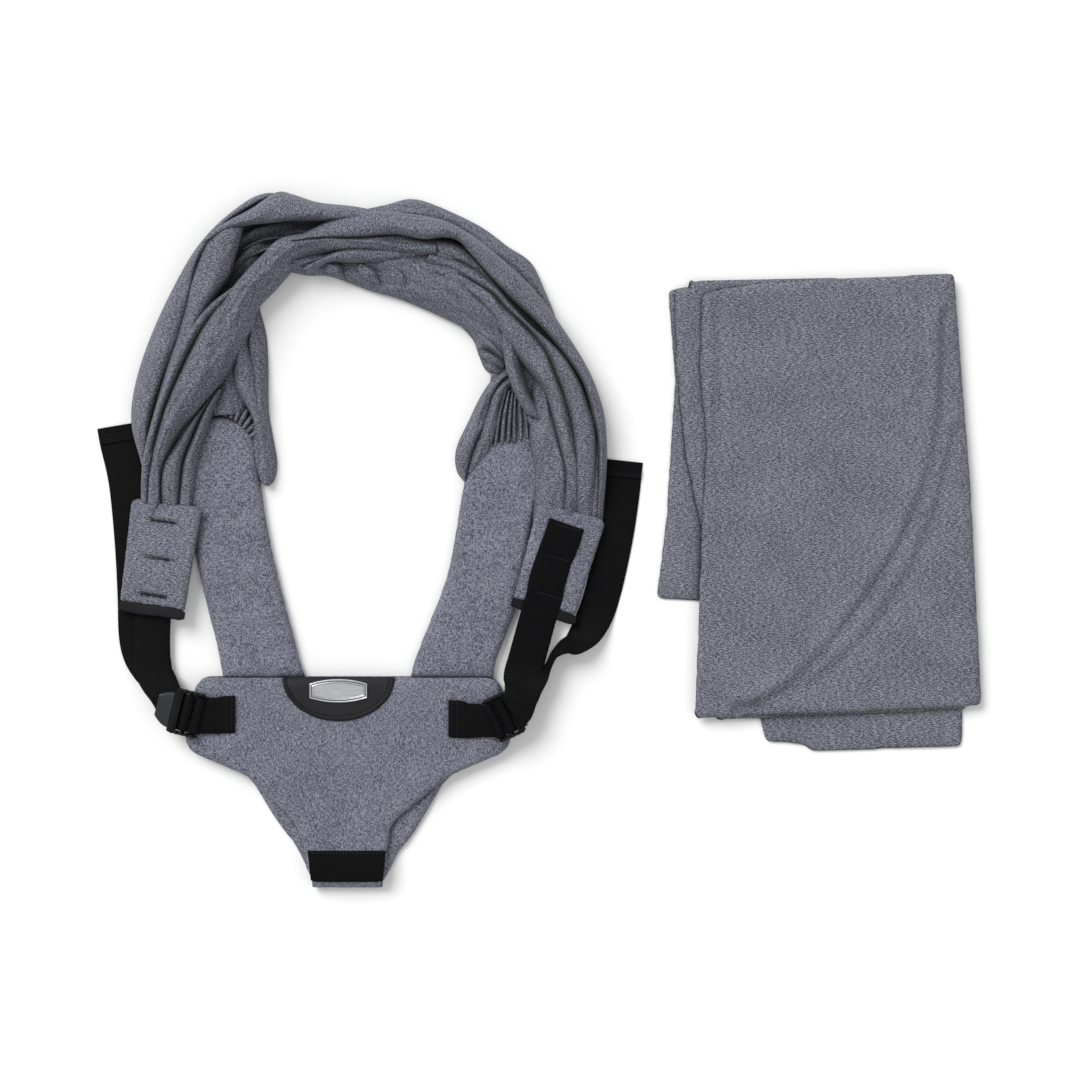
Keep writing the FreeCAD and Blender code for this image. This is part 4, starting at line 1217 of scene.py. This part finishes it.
def build_buckle_loop(side, height):
    """Webbing from its sewn end on the panel, up round the loop bar and back under itself."""
    sign, inner, y = (-1, -114.0, 67.5) if side == "left" else (1, 104.0, 63.0)
    bar = buckle_point(side, 0, 0)
    out = buckle_point(side, 1, 0) - bar
    axis = Vector(JOINTS[side + "_buckle_lift"]["axis"])
    if axis.y < 0:
        axis = -axis
    straight = Vector((0, 1, 0))
    ahead = abs(bar.x - inner) - 6
    spots = []
    for share in (0.0, 0.2, 0.4, 0.6, 0.8, 1.0):
        here = Vector((inner + sign * ahead * share, y + (bar.y - y) * share, 0))
        lie = max(height(here.x, here.y + shift, 17) for shift in (-15, -5, 5, 15)) + 1.5
        here.z = lie + (max(lie, bar.z + 0.4) - lie) * share ** 2
        spots.append((here, max(0.0, share - 0.5) * 2))
    spots += [(bar - out * 3.0 + Vector((0, 0, 2.9)), 1), (bar + Vector((0, 0, 4.2)), 1),
              (bar + out * 3.2 + Vector((0, 0, 2.6)), 1),
              (bar + out * 4.4, 1), (bar + out * 3.2 - Vector((0, 0, 2.2)), 1),
              (bar + Vector((0, 0, -3.2)), 1)]
    line = smooth_line([p for p, _ in spots], 60)
    lean = along([turn for _, turn in spots], 60)
    across = np.array([straight.lerp(axis, min(1, max(0, t))).normalized() for t in lean])
    surface = Surface()
    flat_strip(surface, line, across, WEBBING / 2, 2.0)
    place(surface, side + "_loop_webbing", "webbing", "front_panel", side + "_buckle_loop")
    thread = Surface()
    for step in (3.2, 8.6):
        x = inner + sign * step
        top = spots[0][0].z + 1.15
        stitch_row(thread, (x, y - 17.5, top), (x, y + 17.5, top), 2.6, 2.0)
    stands_for = ["loop_bar_tacks"] if side == "left" else []
    place(thread, side + "_loop_stitches", "thread", "front_panel", *stands_for)


def build_straps(side):
    """The run from the tab to the buckle and the tail that leaves it, as one webbing."""
    body, tail_body = side + "_tab", side + "_tail"
    entry = buckle_point(side, 26, -3.6)
    if side == "left":
        run = [(-193, 225, 8.2), (-196, 200, 8.2), (-199, 175, 8.2), (-201, 150, 7), (-201, 127, 7.5),
               (-199, 112, 9), (-194, 99, 12.5), (-188, 88, 15.5), (-182, 79, 16.6), tuple(entry)]
        rolls = [-9, -9, -9, -4, 0, 4, 8, 8, 4, 0]
        widths = [WEBBING] * 6 + [34, 29, 30, 33]
        tail = [tuple(buckle_point(side, 28, -1.7)), (-181, 81, 18.6), (-185, 91, 17.4), (-194, 103, 11),
                (-206, 117, 5), (-214, 131, 2.2), (-218, 152, 1.2), (-219, 190, 1.2), (-222, 245, 1.2),
                (-228, 305, 1.2), (-237, 346, 1.2), (-240, 363, 1.2)]
        tail_rolls = [0, -4, -10, -14, -8, -3, 0, 0, 0, 0, 0, 0]
        tail_widths = [31, 28, 30, 35] + [WEBBING - 1] * 8
    else:
        run = [(225, 262, 19.8), (219, 244, 21.2), (212, 226, 19.8), (205, 204, 21.4), (202, 188, 19.6),
               (196, 168, 17), (190, 146, 15.5), (184, 124, 13), (179, 106, 13.5), (178, 96, 15.5),
               tuple(entry)]
        rolls = [9, 9, 9, 9, 9, 9, 5, 0, -6, -8, 0]
        widths = [WEBBING] * 9 + [34, 26]
        tail = [tuple(buckle_point(side, 17.2, 1.0)), tuple(buckle_point(side, 19.6, 5.4)), (173.5, 74, 28),
                (179, 84.5, 25), (187, 95.5, 20), (198.5, 106, 17), (206, 117, 15.5), (212, 128, 14.5),
                (222, 135.5, 13), (234, 139.5, 10), (246, 152.5, 5), (257, 175, 1.6), (266, 207, 1.2),
                (275, 250, 1.2), (281, 290, 1.2), (285, 327, 1.2)]
        tail_rolls = [0, 0, 0, 4, 16, 44, 66, 66, 56, 40, 16, 0, 0, 0, 0, 0]
        tail_widths = [37, 37, 36, 33, 29, 22, 18, 19, 26, 31, 35] + [WEBBING - 1] * 5
    chain = [body, (body, "shoulder_loop"), ("shoulder_loop", "back_panel"), ("back_panel", "front_panel"),
             ("front_panel", side + "_buckle")]
    pieces = strap_stretch(side + "_run_webbing", run, rolls, widths, chain, STATIONS[side])
    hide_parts(side + "_strap_run")
    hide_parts(side + "_strap_bend")
    chain = [side + "_buckle", (side + "_buckle", "front_panel"), ("front_panel", "back_panel"),
             ("back_panel", tail_body), tail_body]
    pieces = strap_stretch(side + "_tail_webbing", tail, tail_rolls, tail_widths, chain,
                           TAIL_STATIONS[side])
    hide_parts(side + "_strap_tail")
    build_hem(side, tail, tail_body)


def build_hem(side, tail, body):
    """Folded end of the tail, with its row of stitches."""
    line = smooth_line(tail, 200)
    reach = lengths(line)
    back = line[reach > reach[-1] - 18]
    fold_up = back + np.array((0, 0, WEBBING_THICK + 0.1))
    surface = Surface()
    folded, sideways, out, wide = strap_frame(fold_up[::6], 0.0, WEBBING - 1.6, 9)
    strip(surface, folded, sideways, out, wide / 2, WEBBING_THICK, 7)
    place(surface, side + "_tail_hem", "webbing", body)
    direction = Vector(back[0]) - Vector(back[-1])
    across = direction.cross(Vector((0, 0, 1))).normalized()
    thread = Surface()
    for inset in (1.8, 4.2):
        row = Vector(fold_up[0]) - direction.normalized() * inset + Vector((0, 0, 0.95))
        stitch_row(thread, row - across * 17, row + across * 17, 2.8, 2.1)
    place(thread, side + "_hem_stitches", "thread", body)


# ---------------------------------------------------------------- sash
def crease(places, line, depth, width):
    """Sinks a soft crease along a line and raises its far side a little."""
    path = smooth_line(line, 60)
    distance = np.full(len(places), 1e9)
    offset = np.zeros(len(places))
    for start, end in zip(path[:-1], path[1:]):
        span = end - start
        t = np.clip(((places[:, :2] - start) @ span) / (span @ span), 0, 1)
        gap = places[:, :2] - start - t[:, None] * span
        size = np.linalg.norm(gap, axis=1)
        turn = np.sign(span[0] * gap[:, 1] - span[1] * gap[:, 0])
        nearer = size < distance
        distance[nearer] = size[nearer]
        offset[nearer] = (size * turn)[nearer]
    valley = -depth * np.exp(-(offset / width) ** 2)
    ridge = depth * 0.9 * np.exp(-((offset - 2.1 * width) / (1.5 * width)) ** 2)
    return valley + ridge


def sheet(surface, outline, bottom, top, seed, step=7.0, sag=1.0):
    """A folded cloth layer with a rounded edge and a softly uneven face."""
    points, faces = pillow(outline, top - bottom, step, (top - bottom) * 0.6)
    points[:, 2] += (top + bottom) / 2
    for point in points:
        if point[2] > (top + bottom) / 2:
            x, y = point[:2]
            point[2] += sag * noise.noise((x / 60, y / 95, seed))
            point[2] += 0.35 * sag * noise.noise((x / 17, y / 22, seed + 5))
    surface.add(points, faces, points[:, :2])


def rounded(corners, radius):
    """Outline through corners, each cut by a small round."""
    points = []
    count = len(corners)
    for i in range(count):
        here = Vector(corners[i])
        before = (Vector(corners[i - 1]) - here).normalized()
        after = (Vector(corners[(i + 1) % count]) - here).normalized()
        for t in np.linspace(0, 1, 6):
            a, b = here + before * radius * (1 - t), here + after * radius * t
            points.append(tuple(a.lerp(b, t)))
    return points


def build_sash():
    low, high = (np.array(corner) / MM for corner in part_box("support_sash"))
    thick = high[2]
    cloth = Surface()
    left, right, foot, head = low[0], high[0], low[1], high[1]
    # shorter folds that show at the left, the head and the foot
    sheet(cloth, rounded([(left, foot + 158), (left + 120, foot + 150), (left + 120, head - 22),
                          (left + 30, head - 12), (left + 12, head - 18), (left + 19, head - 110),
                          (left + 10, foot + 240)], 2.5), 0.4, thick * 0.26, 3)
    sheet(cloth, rounded([(left + 46, head - 262), (left + 120, head - 262), (left + 120, head - 20),
                          (left + 24, head - 14), (left + 18, head - 18), (left + 21, head - 103),
                          (left + 30, head - 189), (left + 41, head - 242)], 2.5), thick * 0.28,
          thick * 0.66, 4)
    sheet(cloth, rounded([(left + 60, head - 60), (left + 200, head - 60), (left + 190, head - 3.5),
                          (left + 31, head - 7.5), (left + 40, head - 40)], 2.5), thick * 0.3,
          thick * 0.62, 8)
    sheet(cloth, rounded([(left + 88, foot + 130), (right - 18, foot + 130), (right - 19, foot + 5),
                          (left + 160, foot + 0.5),
                          (left + 152, foot + 8), (left + 112, foot + 10)], 2.5), 0.4, thick * 0.34, 5)
    sheet(cloth, rounded([(left + 60, foot + 120), (right - 16, foot + 120), (right - 15, foot + 43),
                          (left + 150, foot + 36),
                          (left + 60, foot + 33)], 2.5), 0.4, thick * 0.66, 6)
    subdivide(place(cloth, "sash_lower_folds", "smooth_jersey", "sash"))
    # broad top folds
    cloth = Surface()
    sheet(cloth, rounded([(left + 46, head - 21), (left + 68, head - 16), (left + 99, head - 11),
                          (left + 171, head - 6), (right - 29, head), (right - 12, head - 220),
                          (right - 0.5, foot + 48), (left + 240, foot + 43), (left + 39, foot + 35),
                          (left + 47, head - 244), (left + 51, head - 176), (left + 44, head - 104)], 2.5),
          thick * 0.5, thick * 1.05, 7, step=6.0, sag=0.7)
    top = place(cloth, "sash_top_fold", "smooth_jersey", "sash", "support_sash")
    subdivide(top)

    def creases(places):
        upper = places[:, 2] > thick * 0.8
        shift = crease(places, [(left + 82, foot + 43), (left + 135, foot + 68), (left + 188, foot + 122),
                                (left + 255, foot + 222), (left + 290, foot + 330),
                                (left + 296, foot + 450)], 2.8, 5)
        shift += crease(places, [(left + 108, foot + 48), (left + 170, foot + 78), (left + 232, foot + 140),
                                 (left + 280, foot + 225), (left + 308, foot + 330)], 2.2, 6)
        shift += crease(places, [(left + 40, foot + 75), (left + 70, foot + 52), (left + 120, foot + 44)],
                        2.0, 5)
        shift += crease(places, [(left + 60, foot + 300), (left + 66, foot + 400),
                                 (left + 62, foot + 480)], 1.8, 6)
        places[upper, 2] += shift[upper]
        return places

    reshape(top, creases)


# ---------------------------------------------------------------- setting, in metres
FLOOR_REACH = 40.0
SKY_STRENGTH = 0.5
SUNS = {"key": ((-0.8, 0.9, 1.1), 36, 2.45), "fill": ((0.6, -0.5, 1.2), 60,
                                                      0.45)}  # from, degrees wide, power
LENS = 78
EYE_HEIGHT = 2.41
EYE_SHIFT = (0.001, 0.0043)


def build_stage():
    """Pale floor, soft light from all round, a weak key from the upper left and a camera overhead."""
    low, high = (np.array(corner) / MM for corner in CAD_BOX)
    mesh = bpy.data.meshes.new("floor")
    corners = [(x * FLOOR_REACH, y * FLOOR_REACH, 0) for x, y in ((-1, -1), (1, -1), (1, 1), (-1, 1))]
    mesh.from_pydata(corners, [], [(0, 1, 2, 3)])
    floor = bpy.data.objects.new("floor", mesh)
    bpy.context.scene.collection.objects.link(floor)
    shader = Shader("floor", 0.9, specular=0.1)
    shader.surface.inputs["Base Color"].default_value = (0.92, 0.92, 0.92, 1)
    mesh.materials.append(shader.material)
    world = bpy.context.scene.world or bpy.data.worlds.new("world")
    bpy.context.scene.world = world
    world.use_nodes = True
    sky = world.node_tree.nodes["Background"].inputs
    sky["Color"].default_value = (1, 1, 1, 1)
    sky["Strength"].default_value = SKY_STRENGTH
    for name, (source, spread, power) in SUNS.items():
        light = bpy.data.lights.new(name, "SUN")
        light.energy = power
        light.angle = math.radians(spread)
        lamp = bpy.data.objects.new(name, light)
        bpy.context.scene.collection.objects.link(lamp)
        lamp.location = source
        lamp.rotation_euler = (-Vector(source)).to_track_quat("-Z", "Y").to_euler()
    camera = bpy.data.cameras.new("camera")
    camera.lens = LENS
    eye = bpy.data.objects.new("camera", camera)
    bpy.context.scene.collection.objects.link(eye)
    centre = (low + high) / 2 * MM
    eye.location = (centre[0] + EYE_SHIFT[0], centre[1] + EYE_SHIFT[1], EYE_HEIGHT)
    bpy.context.scene.camera = eye
    bpy.context.scene.view_settings.view_transform = "Standard"


def build_bands():
    for side, cloth, far in (("left", left_band(), "right"), ("right", right_band(), "left")):
        piece = cloth.piece(side + "_jersey_folds", "jersey")
        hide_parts(side + "_jersey_band")
        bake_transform(piece)
    for name, cloth in (("right_strap_gather", right_spill()), ("left_strap_gather", left_spill())):
        place(cloth, name, "jersey", "shoulder_loop")


def main():
    front = build_panels()
    height = surface_height([front])
    build_crotch(height)
    build_label(height)
    build_shoulders()
    for side in ("left", "right"):
        build_tab(side)
        build_buckle(side)
        build_bight(side)
        build_buckle_loop(side, height)
        build_straps(side)
    build_bands()
    build_sash()
    build_stage()


main()
